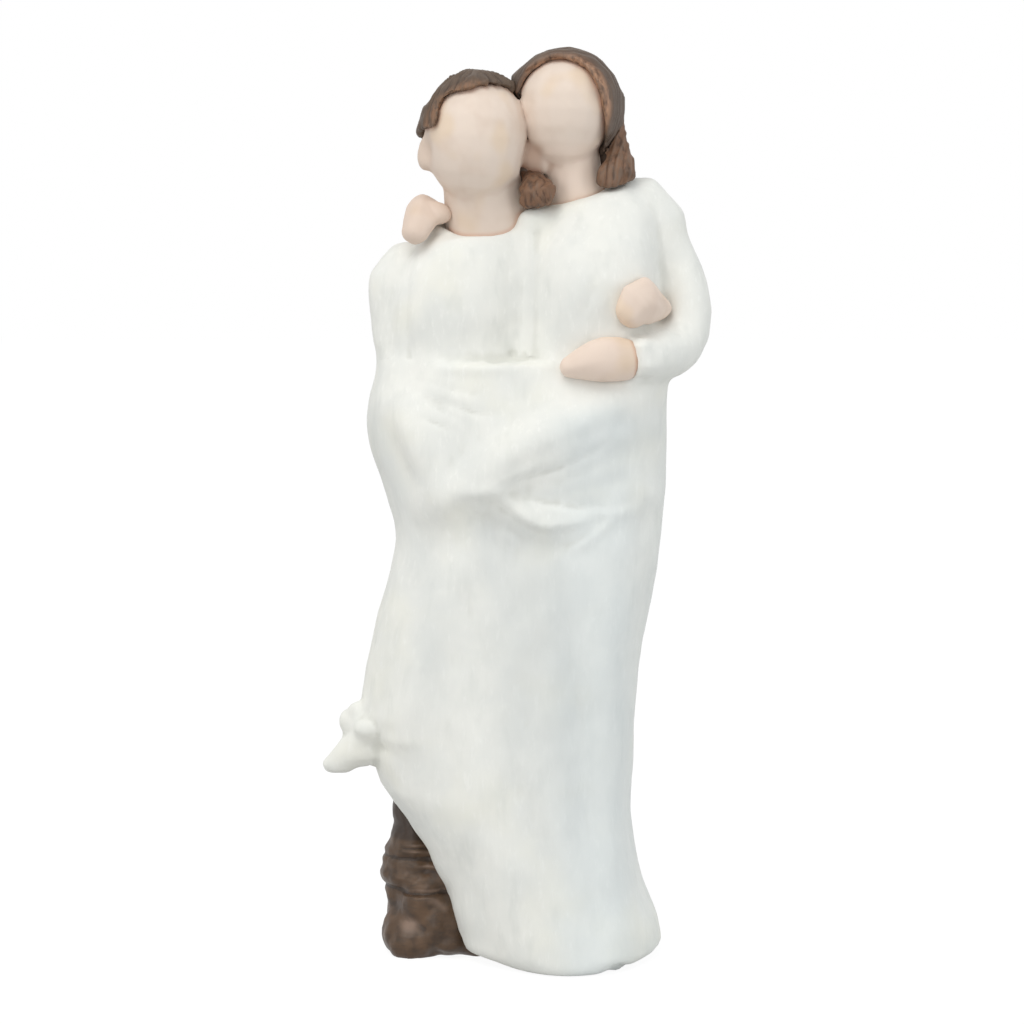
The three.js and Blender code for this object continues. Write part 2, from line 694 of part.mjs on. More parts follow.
const leftShoe = (grow) => shoe(innerLegX, innerLegY, 4 * DEGREE, grow);

// Sleeves
const sleeveRadii = (radius, shares) => shares.map((share) => [radius * share, radius * share]);
const sleeveOptions = { side: point(0, 1, 0), sides: 12, steps: 8 };

const SHORTER_RIGHT_SLEEVE_SHARES = [0.9, 1.06, 1, 0.84];
function shorterRightSleeve(grow) {
  const r = SHORTER_SLEEVE_RADIUS;
  const s = shorterShoulder;
  return limb(
    [
      point(s.x + r * 0.65, s.y, s.z + r * 0.4),
      point(s.x + r * 0.04, s.y + r * 0.05, s.z),
      point(s.x, s.y, mix(s.z, WRAP_HEIGHT, 0.5)),
      point(s.x + r * 0.06, -r * 0.2, WRAP_HEIGHT - r * 0.1),
    ],
    sleeveRadii(r, SHORTER_RIGHT_SLEEVE_SHARES),
    { ...sleeveOptions, steps: 8, cap: 0.4, grow },
  );
}
const tallerBack = TALLER_CHEST_DEPTH * 0.43;
const shorterBack = SHORTER_CHEST_DEPTH * 0.44;
const SHORTER_LEFT_SLEEVE_SHARES = [0.98, 0.95, 0.88, 0.8, 0.7];
function shorterLeftSleeve(grow) {
  const r = SHORTER_SLEEVE_RADIUS;
  const start = point(SHORTER_BODY_X + SHORTER_CHEST_WIDTH * 0.38, r * 0.8, shorterShoulder.z + r * 0.2);
  return limb(
    [
      start,
      point(mix(start.x, TALLER_BODY_X, 0.5), tallerBack, start.z - r * 0.4),
      point(TALLER_BODY_X, tallerBack + r * 0.2, start.z - r),
      point(TALLER_BODY_X + TALLER_CHEST_WIDTH * 0.34, tallerBack - r * 0.3, start.z - r * 1.4),
      point(TALLER_BODY_X + TALLER_CHEST_WIDTH * 0.47, r * 0.5, start.z - r * 1.5),
    ],
    sleeveRadii(r, SHORTER_LEFT_SLEEVE_SHARES),
    { ...sleeveOptions, side: point(0, 0, 1), grow },
  );
}
const tallerElbow = point(
  tallerShoulder.x + TALLER_SLEEVE_RADIUS * 1.36,
  -TALLER_SLEEVE_RADIUS * 0.2,
  WRAP_HEIGHT + TALLER_SLEEVE_RADIUS * 1.3,
);
// The hand lies on the foremost of the wrap and the bodice.
const wrapFront = WRAP_DEPTH * 0.325 - (WRAP_BACK - WRAP_DEPTH * 0.45);
const bodiceFront = TALLER_CHEST_DEPTH * 0.56;
const tallerCuff = point(
  TALLER_BODY_X + TALLER_CHEST_WIDTH * 0.23,
  -Math.max(wrapFront, bodiceFront),
  WRAP_HEIGHT + HAND_WIDTH * 0.08,
);
const TALLER_LEFT_SLEEVE_SHARES = [0.95, 1.12, 1.05, 0.98, 1, 1, 0.9, 0.7];
function tallerLeftSleeve(grow) {
  const r = TALLER_SLEEVE_RADIUS;
  const s = tallerShoulder;
  const e = tallerElbow;
  const c = tallerCuff;
  return limb(
    [
      point(s.x - r * 0.7, s.y, s.z + r * 0.35),
      point(s.x + r * 0.14, s.y, s.z + r * 0.16),
      point(mix(s.x, e.x, 0.42), s.y, mix(s.z, e.z, 0.27)),
      point(mix(s.x, e.x, 0.86), s.y * 0.6, mix(s.z, e.z, 0.62)),
      e,
      point(e.x - r * 0.32, e.y - r * 0.35, e.z - r * 0.76),
      point(mix(e.x, c.x, 0.42), mix(e.y, c.y, 0.58), mix(e.z, c.z, 0.85)),
      c,
    ],
    sleeveRadii(r, TALLER_LEFT_SLEEVE_SHARES),
    { ...sleeveOptions, steps: 13, cap: 0.25, grow },
  );
}
const shorterGraspX = SHORTER_BODY_X - SHORTER_CHEST_WIDTH * 0.155;
const TALLER_RIGHT_SLEEVE_SHARES = [1, 0.94, 0.88, 0.8, 0.68];
function tallerRightSleeve(grow) {
  const r = TALLER_SLEEVE_RADIUS;
  const top = shorterCollar;
  return limb(
    [
      point(TALLER_BODY_X - TALLER_CHEST_WIDTH * 0.33, r, mix(top, tallerCollar, 0.2) - r * 0.4),
      point(SHORTER_HEAD_X + SHORTER_HEAD_WIDTH * 0.2, shorterBack, top - r * 0.4),
      point(mix(SHORTER_HEAD_X, shorterGraspX, 0.4), shorterBack + r * 0.1, top - r * 0.5),
      point(shorterGraspX + r * 0.2, shorterBack - r * 0.4, top - r * 0.1),
      point(shorterGraspX, r * 0.55, top + r * 0.35),
    ],
    sleeveRadii(r, TALLER_RIGHT_SLEEVE_SHARES),
    { ...sleeveOptions, side: point(0, 0, 1), cap: 0.25, grow },
  );
}

// Hands: mitts with the fingers laid together
const FINGERS = 4;
function mitt(places, breadthShares, side, grow) {
  const radii = breadthShares.map((share) => [
    (HAND_WIDTH / 2) * share,
    (HAND_THICKNESS / 2) * (0.45 + 0.55 * share),
  ]);
  const groove = (share, turn) =>
    Math.abs(Math.sin(turn)) *
    HAND_THICKNESS *
    0.05 *
    THREE.MathUtils.smoothstep(share, 0.4, 0.7) *
    Math.cos(FINGERS * Math.PI * Math.cos(turn));
  return limb(places, radii, { side, sides: 16, steps: 5, cap: 0.9, grow, relief: groove });
}
const TALLER_LEFT_HAND_SHARES = [1, 1.1, 0.9, 0.5];
function tallerLeftHand(grow) {
  const c = tallerCuff;
  const n = HAND_WIDTH;
  const proud = c.y - HAND_THICKNESS * 0.3;
  return mitt(
    [
      c,
      point(c.x - n * 0.5, proud, c.z + n * 0.03),
      point(c.x - n * 1, proud, c.z - n * 0.06),
      point(c.x - n * 1.46, c.y - HAND_THICKNESS * 0.2, c.z - n * 0.18),
    ],
    TALLER_LEFT_HAND_SHARES,
    point(0, 0, 1),
    grow,
  );
}
const SHORTER_LEFT_HAND_SHARES = [0.95, 1.16, 1.16, 0.82];
function shorterLeftHand(grow) {
  const n = HAND_WIDTH;
  const side = TALLER_BODY_X + TALLER_CHEST_WIDTH * 0.48;
  const front = -TALLER_CHEST_DEPTH * 0.59;
  const z = shorterShoulder.z - n * 0.6;
  return mitt(
    [
      point(side + n * 0.04, front + n * 1.15, z - n * 0.08),
      point(side - n * 0.26, front + n * 0.45, z + n * 0.02),
      point(side - n * 0.58, front + n * 0.06, z),
      point(side - n * 0.84, front - n * 0.04, z - n * 0.3),
    ],
    SHORTER_LEFT_HAND_SHARES,
    point(0, 0, 1),
    grow,
  );
}
const TALLER_RIGHT_HAND_SHARES = [0.82, 0.98, 0.94, 0.66];
function tallerRightHand(grow) {
  const n = HAND_WIDTH;
  const top = shorterCollar;
  return mitt(
    [
      point(shorterGraspX, n * 0.5, top + n * 0.46),
      point(shorterGraspX - n * 0.06, -n * 0.12, top + n * 0.6),
      point(shorterGraspX - n * 0.22, -n * 0.65, top + n * 0.38),
      point(shorterGraspX - n * 0.42, -n * 0.95, top - n * 0.1),
    ],
    TALLER_RIGHT_HAND_SHARES,
    point(1, 0, 0),
    grow,
  );
}

// Paints
const paint = (color, roughness) => new THREE.MeshStandardMaterial({ color, roughness, metalness: 0 });
const cream = paint(0xe9e9e4, 0.75);
const skin = paint(0xdcc6b6, 0.6);
const brownHair = paint(0x6b4a38, 0.6);
const brownLeather = paint(0x4f3a2c, 0.45);

// In this order each casting is seated in, and cut back from, those above it.
const castings = [
  ["shorter_head", shorterHeadCasting, skin],
  ["shorter_hair", shorterHair, brownHair],
  ["taller_head", tallerHeadCasting, skin],
  ["taller_bodice", bodice, cream],
  ["shorter_shirt", shirt, cream],
  ["shorter_right_leg", rightLeg, brownLeather],
  ["shorter_left_leg", leftLeg, brownLeather],
  ["shorter_right_shoe", rightShoe, brownLeather],
  ["shorter_left_shoe", leftShoe, brownLeather],
  ["shared_wrap", wrap, cream],
  ["taller_left_hand", tallerLeftHand, skin],
  ["shorter_left_hand", shorterLeftHand, skin],
  ["taller_right_hand", tallerRightHand, skin],
  ["taller_left_sleeve", tallerLeftSleeve, cream],
  ["shorter_left_sleeve", shorterLeftSleeve, cream],
  ["taller_right_sleeve", tallerRightSleeve, cream],
  ["shorter_right_sleeve", shorterRightSleeve, cream],
  ["taller_hair", tallerHair, brownHair],
  ["taller_left_lock", tallerLeftLock, brownHair],
  ["taller_right_lock", tallerRightLock, brownHair],
];

function boxesMeet(a, b) {
  const [p, q] = [a.boundingBox(), b.boundingBox()];
  return [0, 1, 2].every((i) => p.min[i] < q.max[i] && q.min[i] < p.max[i]);
}
function geometryOf(made) {
  const { vertProperties, triVerts } = made.getMesh();
  return new THREE.BufferGeometry()
    .setAttribute("position", new THREE.BufferAttribute(vertProperties, 3))
    .setIndex(new THREE.BufferAttribute(triVerts, 1));
}
// The largest body once the corners have been rounded to 32 bits, without the slivers that a cut leaves.
const largest = (made) =>
  solid(geometryOf(made))
    .decompose()
    .reduce((a, b) => (b.volume() > a.volume() ? b : a));

function assemble() {
  const group = new THREE.Group();
  const pockets = [];
  for (const [name, make, material] of castings) {
    let made = make(0);
    for (const pocket of pockets) if (boxesMeet(made, pocket)) made = made.subtract(pocket);
    pockets.push(make(GLUE_GAP));
    const mesh = new THREE.Mesh(geometryOf(largest(made)), material);
    mesh.name = name;
    group.add(mesh);
  }
  return group;
}

// The part stands on Z = 0 with the origin under the middle of its box.
function centred(group) {
  const box = new THREE.Box3().setFromObject(group);
  const middle = box.getCenter(point(0, 0, 0));
  group.children.forEach((mesh) => mesh.position.set(-middle.x, -middle.y, -box.min.z));
  return group;
}

export default centred(assemble());
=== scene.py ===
import math

import bmesh
import bpy
import numpy as np
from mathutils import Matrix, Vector, noise
from mathutils.bvhtree import BVHTree


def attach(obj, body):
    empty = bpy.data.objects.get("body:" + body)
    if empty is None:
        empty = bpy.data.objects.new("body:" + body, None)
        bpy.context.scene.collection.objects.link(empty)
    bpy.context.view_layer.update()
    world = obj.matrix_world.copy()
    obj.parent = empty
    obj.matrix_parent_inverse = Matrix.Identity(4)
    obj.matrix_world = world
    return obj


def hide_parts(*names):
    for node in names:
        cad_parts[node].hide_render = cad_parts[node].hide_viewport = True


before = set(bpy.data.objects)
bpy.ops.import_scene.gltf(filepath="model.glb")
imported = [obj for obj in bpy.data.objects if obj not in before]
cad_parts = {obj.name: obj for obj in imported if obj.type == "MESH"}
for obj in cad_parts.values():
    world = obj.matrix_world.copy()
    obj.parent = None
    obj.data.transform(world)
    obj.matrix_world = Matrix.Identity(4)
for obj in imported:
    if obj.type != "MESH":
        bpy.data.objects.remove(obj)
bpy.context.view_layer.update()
mm = 0.001
scene = bpy.context.scene
print("frame loaded:", len(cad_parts), "castings")


# Small helpers. Lengths are in millimetres, and co is always an array of places, one row a vertex

weld = 0.001  # corners of a casting nearer than this are one


def joined(nodes, grow=0.0):
    bm = bmesh.new()
    for node in nodes:
        one = bmesh.new()
        one.from_mesh(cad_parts[node].data)
        bmesh.ops.remove_doubles(one, verts=one.verts, dist=weld * mm)
        one.normal_update()
        for v in one.verts:
            v.co += v.normal * grow * mm
        part = bpy.data.meshes.new("part")
        one.to_mesh(part)
        one.free()
        bm.from_mesh(part)
        bpy.data.meshes.remove(part)
    return bm


def asObject(bm, name):
    mesh = bpy.data.meshes.new(name)
    bm.to_mesh(mesh)
    bm.free()
    obj = bpy.data.objects.new(name, mesh)
    scene.collection.objects.link(obj)
    return obj


def reskin(obj, size):
    skin = obj.modifiers.new("skin", "REMESH")
    skin.mode = "VOXEL"
    skin.voxel_size = size * mm
    skin.use_smooth_shade = True
    bpy.context.view_layer.update()
    made = bpy.data.meshes.new_from_object(obj.evaluated_get(bpy.context.evaluated_depsgraph_get()))
    obj.modifiers.clear()
    old = obj.data
    obj.data = made
    bpy.data.meshes.remove(old)


def relax(obj, rounds, spare=None, factor=0.5):
    kept = spare(places(obj)) if spare else np.zeros(len(obj.data.vertices), bool)
    bm = bmesh.new()
    bm.from_mesh(obj.data)
    moving = [v for v, k in zip(bm.verts, kept) if not k]
    ways = {"use_axis_x": True, "use_axis_y": True, "use_axis_z": True}
    for _ in range(rounds):
        bmesh.ops.smooth_vert(bm, verts=moving, factor=factor, **ways)
    bm.to_mesh(obj.data)
    bm.free()
    obj.data.update()


def places(obj):
    co = np.empty(len(obj.data.vertices) * 3)
    obj.data.vertices.foreach_get("co", co)
    return co.reshape(-1, 3) / mm


def facings(obj):
    out = np.empty(len(obj.data.vertices) * 3)
    obj.data.vertex_normals.foreach_get("vector", out)
    return out.reshape(-1, 3)


def put(obj, co):
    obj.data.vertices.foreach_set("co", (co * mm).ravel())
    obj.data.update()


def push(obj, amount):
    put(obj, places(obj) + facings(obj) * np.reshape(amount, (-1, 1)))


def smoothstep(low, high, x):  # falls where low is above high
    t = np.clip((x - low) / (high - low), 0, 1)
    return t * t * (3 - 2 * t)


def spot(co, at, reach):  # 1 at a place seen from the front, falling to 0 past its reach
    return np.exp(-((co[:, 0] - at[0]) / reach[0]) ** 2 - ((co[:, 2] - at[1]) / reach[1]) ** 2)


def grain(co, size, stretch=(1, 1, 1), seed=0.0, height=1.0):
    k = np.array(stretch) / size
    return np.array([noise.noise(Vector(p)) for p in co * k + seed]) * height


def treeOf(obj):
    bm = bmesh.new()
    bm.from_mesh(obj.data)
    tree = BVHTree.FromBMesh(bm)
    bm.free()
    return tree


def gapTo(obj, tree, reach):
    out = np.full(len(obj.data.vertices), reach)
    for i, v in enumerate(obj.data.vertices):
        found = tree.find_nearest(v.co, reach * mm)
        if found[0] is not None:
            out[i] = found[3] / mm
    return out


def mark(obj, name, values):
    layer = obj.data.attributes.new(name, "FLOAT", "POINT")
    layer.data.foreach_set("value", np.asarray(values, np.float32))


def bowls(obj, rounds=6, depth=0.12):
    co = places(obj)
    ends = np.empty(len(obj.data.edges) * 2, int)
    obj.data.edges.foreach_get("vertices", ends)
    a, b = ends.reshape(-1, 2).T
    count = np.bincount(ends, minlength=len(co)).reshape(-1, 1)
    soft = co.copy()
    for _ in range(rounds):
        total = np.zeros_like(soft)
        for k in range(3):
            total[:, k] = np.bincount(a, soft[b, k], len(co)) + np.bincount(b, soft[a, k], len(co))
        soft = total / np.maximum(count, 1)
    return ((soft - co) * facings(obj)).sum(1) / depth  # above 0 in a hollow, below 0 on a crest


# hollows take painted shade and crests painted highlight in the finishes that read them
def markHollows(obj, sunk):
    mark(obj, "hollow", np.clip(sunk, 0, 1))
    mark(obj, "crest", np.clip(-sunk, 0, 1))


def beads(path, radius, step=0.7):  # a row of small lumps along a path
    lumps = []
    for a, b in zip(path, path[1:]):
        a, b = Vector(a), Vector(b)
        count = max(1, round((b - a).length / step))
        lumps += [{"at": a.lerp(b, i / count), "size": (radius, radius, radius)} for i in range(count)]
    return lumps


def fill(bm, lumps):
    for lump in lumps:
        ball = bmesh.ops.create_icosphere(bm, subdivisions=3, radius=1)["verts"]
        bmesh.ops.scale(bm, verts=ball, vec=Vector(lump["size"]) * mm)
        bmesh.ops.translate(bm, verts=ball, vec=Vector(lump["at"]) * mm)


nudgeFade = (2, -1)  # depths between which a nudge of the front alone sets in


def nudged(co, nudges):
    out = co.copy()
    for n in nudges:
        near = spot(co, n["at"], n["reach"])
        if "deep" not in n:
            near *= smoothstep(*nudgeFade, co[:, 1])
        out[:, 0] += near * n["move"][0]
        out[:, 2] += near * n["move"][1]
    return out


# One soft skin over castings that meet; it is only a guide and is thrown away
def softJoint(spec, relief=None, spare=None, calm=None):
    bm = joined(spec["nodes"], spec["grow"])
    fill(bm, spec.get("lumps", []))
    body = asObject(bm, "guide")
    reskin(body, spec["size"])
    relax(body, spec["rounds"])
    if spare:
        relax(body, spec["extra"], spare)
    if calm:
        relax(body, spec["calm"], lambda co: ~calm(co))
    put(body, nudged(places(body), spec.get("nudges", [])))
    push(body, np.full(len(body.data.vertices), spec["swell"] - spec["grow"]))
    if relief:
        push(body, relief(places(body), facings(body)))
    bm = bmesh.new()
    bm.from_mesh(body.data)
    skin = {
        "tree": BVHTree.FromBMesh(bm),
        "corners": [[v.index for v in f.verts] for f in bm.faces],
        "co": places(body),
        "normal": facings(body),
        "sunk": bowls(body),
    }
    bm.free()
    if spec.get("kept"):
        skin["body"] = body
    else:
        bpy.data.objects.remove(body)
    return skin


pull = {
    "fade": (0.55, 1),  # shares of the reach between which a casting is let go
    "walls": (-0.1, 0.45),  # facings between which the walls of a glue joint stay inside
    "least": 0.05,  # the nearest that a corner of the skin counts as being
}


# Draws a casting onto the skin; near it the casting takes the skin's shading too
def settle(obj, skin, reach, slack=0.0, shading=True):
    co = places(obj)
    own = facings(obj)
    sunk = bowls(obj)
    share = np.zeros(len(co))
    shade = np.zeros_like(co)
    for i, p in enumerate(co):
        q, _, face, d = skin["tree"].find_nearest(Vector(p) * mm, reach * mm)
        if q is None:
            co[i] -= own[i] * slack
            continue
        q = np.array(q) / mm
        corners = skin["corners"][face]
        near = 1 / (np.linalg.norm(skin["co"][corners] - q, axis=1) + pull["least"])
        near /= near.sum()
        out = near @ skin["normal"][corners]
        loose = smoothstep(*pull["fade"], d / mm / reach)
        w = 1 - loose
        if (p - q) @ out < 0:
            w *= smoothstep(*pull["walls"], own[i] @ out)
        co[i] += (q - p) * w - own[i] * slack * loose
        share[i] = w
        shade[i] = out
        sunk[i] = sunk[i] * (1 - w) + near @ skin["sunk"][corners] * w
    co[:, 2] = np.maximum(co[:, 2], 0)
    put(obj, co)
    if shading:
        share = share.reshape(-1, 1)
        normal = facings(obj) * (1 - share) + shade * share
        length = np.linalg.norm(normal, axis=1, keepdims=True)
        obj.data.normals_split_custom_set_from_vertices(normal / np.where(length > 0, length, 1))
    return sunk


# Soft lines seen from the front: each path is (x, z, height), and a height below 0 is a valley
def drawn(co, lines):
    out = np.zeros(len(co))
    x, z = co[:, 0], co[:, 2]
    for line in lines:
        best = np.full(len(co), np.inf)
        side = np.zeros(len(co))
        height = np.zeros(len(co))
        for (ax, az, ah), (bx, bz, bh) in zip(line["path"], line["path"][1:]):
            dx, dz = bx - ax, bz - az
            t = np.clip(((x - ax) * dx + (z - az) * dz) / (dx * dx + dz * dz), 0, 1)
            px, pz = x - ax - t * dx, z - az - t * dz
            d = np.hypot(px, pz)
            near = d < best
            best = np.where(near, d, best)
            side = np.where(near, dx * pz - dz * px, side)
            height = np.where(near, ah + (bh - ah) * t, height)
        width = np.where(side > 0, line["above"], line["below"])
        out += height * np.exp(-((best / width) ** 2))
    return out


# Finishes

def colour(r, g, b):
    def linear(c):
        c /= 255
        return c / 12.92 if c <= 0.04045 else ((c + 0.055) / 1.055) ** 2.4
    return (linear(r), linear(g), linear(b), 1)


class Finish:
    def __init__(self, name, specular):
        self.material = bpy.data.materials.new(name)
        self.material.use_nodes = True
        self.tree = self.material.node_tree
        self.shader = self.tree.nodes["Principled BSDF"]
        self.shader.inputs["Specular IOR Level"].default_value = specular
        self.where = self.tree.nodes.new("ShaderNodeTexCoord").outputs["Object"]
        self.last = None

    def mapped(self, scale=(1, 1, 1), location=(0, 0, 0)):
        node = self.tree.nodes.new("ShaderNodeMapping")
        node.inputs["Scale"].default_value = scale
        node.inputs["Location"].default_value = location
        self.tree.links.new(self.where, node.inputs["Vector"])
        return node.outputs["Vector"]

    def speckle(self, size, scale=(1, 1, 1), detail=2.0, roughness=0.55):
        node = self.tree.nodes.new("ShaderNodeTexNoise")
        node.inputs["Scale"].default_value = 1 / (size * mm)
        node.inputs["Detail"].default_value = detail
        node.inputs["Roughness"].default_value = roughness
        self.tree.links.new(self.mapped(scale), node.inputs["Vector"])
        return node.outputs["Fac"]

    def distance(self, centre, reach):  # 1 on the oval body that reaches so far round the centre
        node = self.tree.nodes.new("ShaderNodeVectorMath")
        node.operation = "LENGTH"
        scale = tuple(1 / (r * mm) for r in reach)
        shift = tuple(-c * s * mm for c, s in zip(centre, scale))
        self.tree.links.new(self.mapped(scale, shift), node.inputs[0])
        return node.outputs["Value"]

    def ramp(self, value, low, high, top=1.0):
        node = self.tree.nodes.new("ShaderNodeMapRange")
        node.interpolation_type = "SMOOTHSTEP"
        node.inputs["From Min"].default_value = low
        node.inputs["From Max"].default_value = high
        node.inputs["To Max"].default_value = top
        self.tree.links.new(value, node.inputs["Value"])
        return node.outputs["Result"]

    def marked(self, name):
        node = self.tree.nodes.new("ShaderNodeAttribute")
        node.attribute_name = name
        return node.outputs["Fac"]

    def times(self, a, b):
        node = self.tree.nodes.new("ShaderNodeMath")
        node.operation = "MULTIPLY"
        self.tree.links.new(a, node.inputs[0])
        self.tree.links.new(b, node.inputs[1])
        return node.outputs[0]

    def ground(self, tone):
        self.last = colour(*tone)

    def lay(self, tone, amount):
        node = self.tree.nodes.new("ShaderNodeMix")
        node.data_type = "RGBA"
        self.tree.links.new(amount, node.inputs["Factor"])
        if isinstance(self.last, tuple):
            node.inputs[6].default_value = self.last
        else:
            self.tree.links.new(self.last, node.inputs[6])
        node.inputs[7].default_value = colour(*tone)
        self.last = node.outputs[2]

    def glaze(self, tone, source, low, high, top):  # sets in at low and is full at high
        self.lay(tone, self.ramp(source, low, high, top))

    def surface(self, layers):
        normal = None
        for value, height, strength in layers:
            node = self.tree.nodes.new("ShaderNodeBump")
            node.inputs["Distance"].default_value = height * mm
            node.inputs["Strength"].default_value = strength
            self.tree.links.new(value, node.inputs["Height"])
            if normal:
                self.tree.links.new(normal, node.inputs["Normal"])
            normal = node.outputs["Normal"]
        self.tree.links.new(normal, self.shader.inputs["Normal"])

    def gloss(self, value, low, high):
        node = self.tree.nodes.new("ShaderNodeMapRange")
        node.inputs["To Min"].default_value = low
        node.inputs["To Max"].default_value = high
        self.tree.links.new(value, node.inputs["Value"])
        self.tree.links.new(node.outputs["Result"], self.shader.inputs["Roughness"])

    def done(self):
        self.tree.links.new(self.last, self.shader.inputs["Base Color"])
        return self.material


def creamPaint(name, strokes):
    f = Finish(name, specular=0.3)
    broad = f.speckle(9, detail=3)
    fine = f.speckle(0.9, strokes, detail=3, roughness=0.6)
    streaks = f.speckle(2.6, strokes)
    f.ground((238, 238, 232))
    f.glaze((224, 226, 222), broad, 0.35, 0.7, 0.5)
    f.glaze((240, 238, 222), f.speckle(14), 0.5, 0.75, 0.35)
    f.glaze((214, 216, 210), streaks, 0.5, 0.8, 0.35)
    f.glaze((250, 250, 245), fine, 0.52, 0.8, 0.4)
    # painted cool shade on the wrap's right side
    f.glaze((216, 228, 233), f.marked("coolShade"), 0, 1, 0.32)
    # painted shade in the drapery, and on the bodice and the taller one's left sleeve
    f.glaze((202, 207, 207), f.marked("washAndShade"), 0, 1, 0.4)
    # painted shade in the cloth's hollows
    f.glaze((196, 196, 186), f.marked("hollow"), 0.15, 1, 0.5)
    f.gloss(broad, 0.55, 0.75)
    f.surface([(streaks, 0.16, 0.35), (fine, 0.08, 0.4)])
    return f.done()


def skinPaint(name, tone):
    f = Finish(name, specular=0.3)
    blotch = f.speckle(5)
    f.ground(tone)
    f.glaze((212, 190, 172), blotch, 0.45, 0.75, 0.4)
    f.glaze((226, 198, 160), f.speckle(7, detail=1), 0.52, 0.72, 0.35)
    # painted light on the taller one's chin and neck, then painted shade on what is marked shade and in the
    # hollows
    f.glaze((244, 225, 210), f.marked("light"), 0, 1, 0.8)
    f.glaze((196, 172, 154), f.marked("shade"), 0, 1, 0.5)
    f.glaze((206, 150, 120), f.marked("washAndShade"), 0.1, 1, 0.45)
    f.glaze((190, 150, 125), f.marked("hollow"), 0.2, 1, 0.4)
    f.gloss(blotch, 0.48, 0.62)
    f.surface([(f.speckle(0.7), 0.03, 0.3)])
    return f.done()


# The warm tone lies inside the oval body, where the hair ends beside the face, and the rim's tone outside it
def hairPaint(name, oval, dark, middle, warm, rim):
    f = Finish(name, specular=0.35)
    strands = f.speckle(0.8, (1, 1, 0.35))
    blotch = f.speckle(2.5)
    far = f.distance(oval["centre"], oval["reach"])
    f.ground(middle)
    f.glaze(dark, blotch, 0.42, 0.66, 0.4)
    f.glaze(dark, f.marked("strand"), 0.48, 0.3, 0.55)
    f.glaze(rim, far, 1.03, 1.25, 0.8)
    f.glaze(rim, f.marked("strand"), 0.55, 0.75, 0.5)
    f.lay(warm, f.times(f.ramp(far, 1.14, 0.98), f.ramp(strands, 0.3, 0.6, 0.8)))
    # painted highlight on the strands' crests and painted shade in their hollows
    f.glaze(rim, f.marked("crest"), 0.3, 1, 0.35)
    f.glaze(dark, f.marked("hollow"), 0.2, 1, 0.6)
    f.gloss(blotch, 0.42, 0.6)
    f.surface([(strands, 0.08, 0.4)])
    return f.done()


def bootPaint(name):
    f = Finish(name, specular=0.35)
    blotch = f.speckle(2.2, detail=3)
    scuffAndSheen = f.speckle(0.6, (1, 1, 2.5))
    f.ground((84, 64, 47))
    f.glaze((58, 45, 36), blotch, 0.45, 0.65, 0.6)
    f.glaze((112, 86, 64), f.speckle(3.5, detail=1), 0.5, 0.7, 0.45)
    f.glaze((66, 56, 46), f.speckle(1.2, (0.4, 1, 2)), 0.5, 0.75, 0.5)
    # painted highlight on the crests and the toe, and painted shade in the hollows
    f.lay((140, 124, 110), f.times(f.ramp(f.marked("crest"), 0.3, 1, 0.35), f.ramp(scuffAndSheen, 0.35, 0.6)))
    f.glaze((156, 132, 116), f.marked("paintedHighlight"), 0.1, 1, 0.6)
    f.glaze((44, 34, 28), f.marked("hollow"), 0.15, 0.8, 0.7)
    f.gloss(blotch, 0.32, 0.52)
    f.surface([(scuffAndSheen, 0.05, 0.3)])
    return f.done()


def finished(obj, node, material):
    obj.data.materials.clear()
    obj.data.materials.append(material)
    for p in obj.data.polygons:
        p.use_smooth = True
    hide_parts(node)
    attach(obj, "root")
    print("made", obj.name, len(obj.data.polygons), "faces")


# The cloth: wrap, clothes and sleeves share one soft skin where they meet

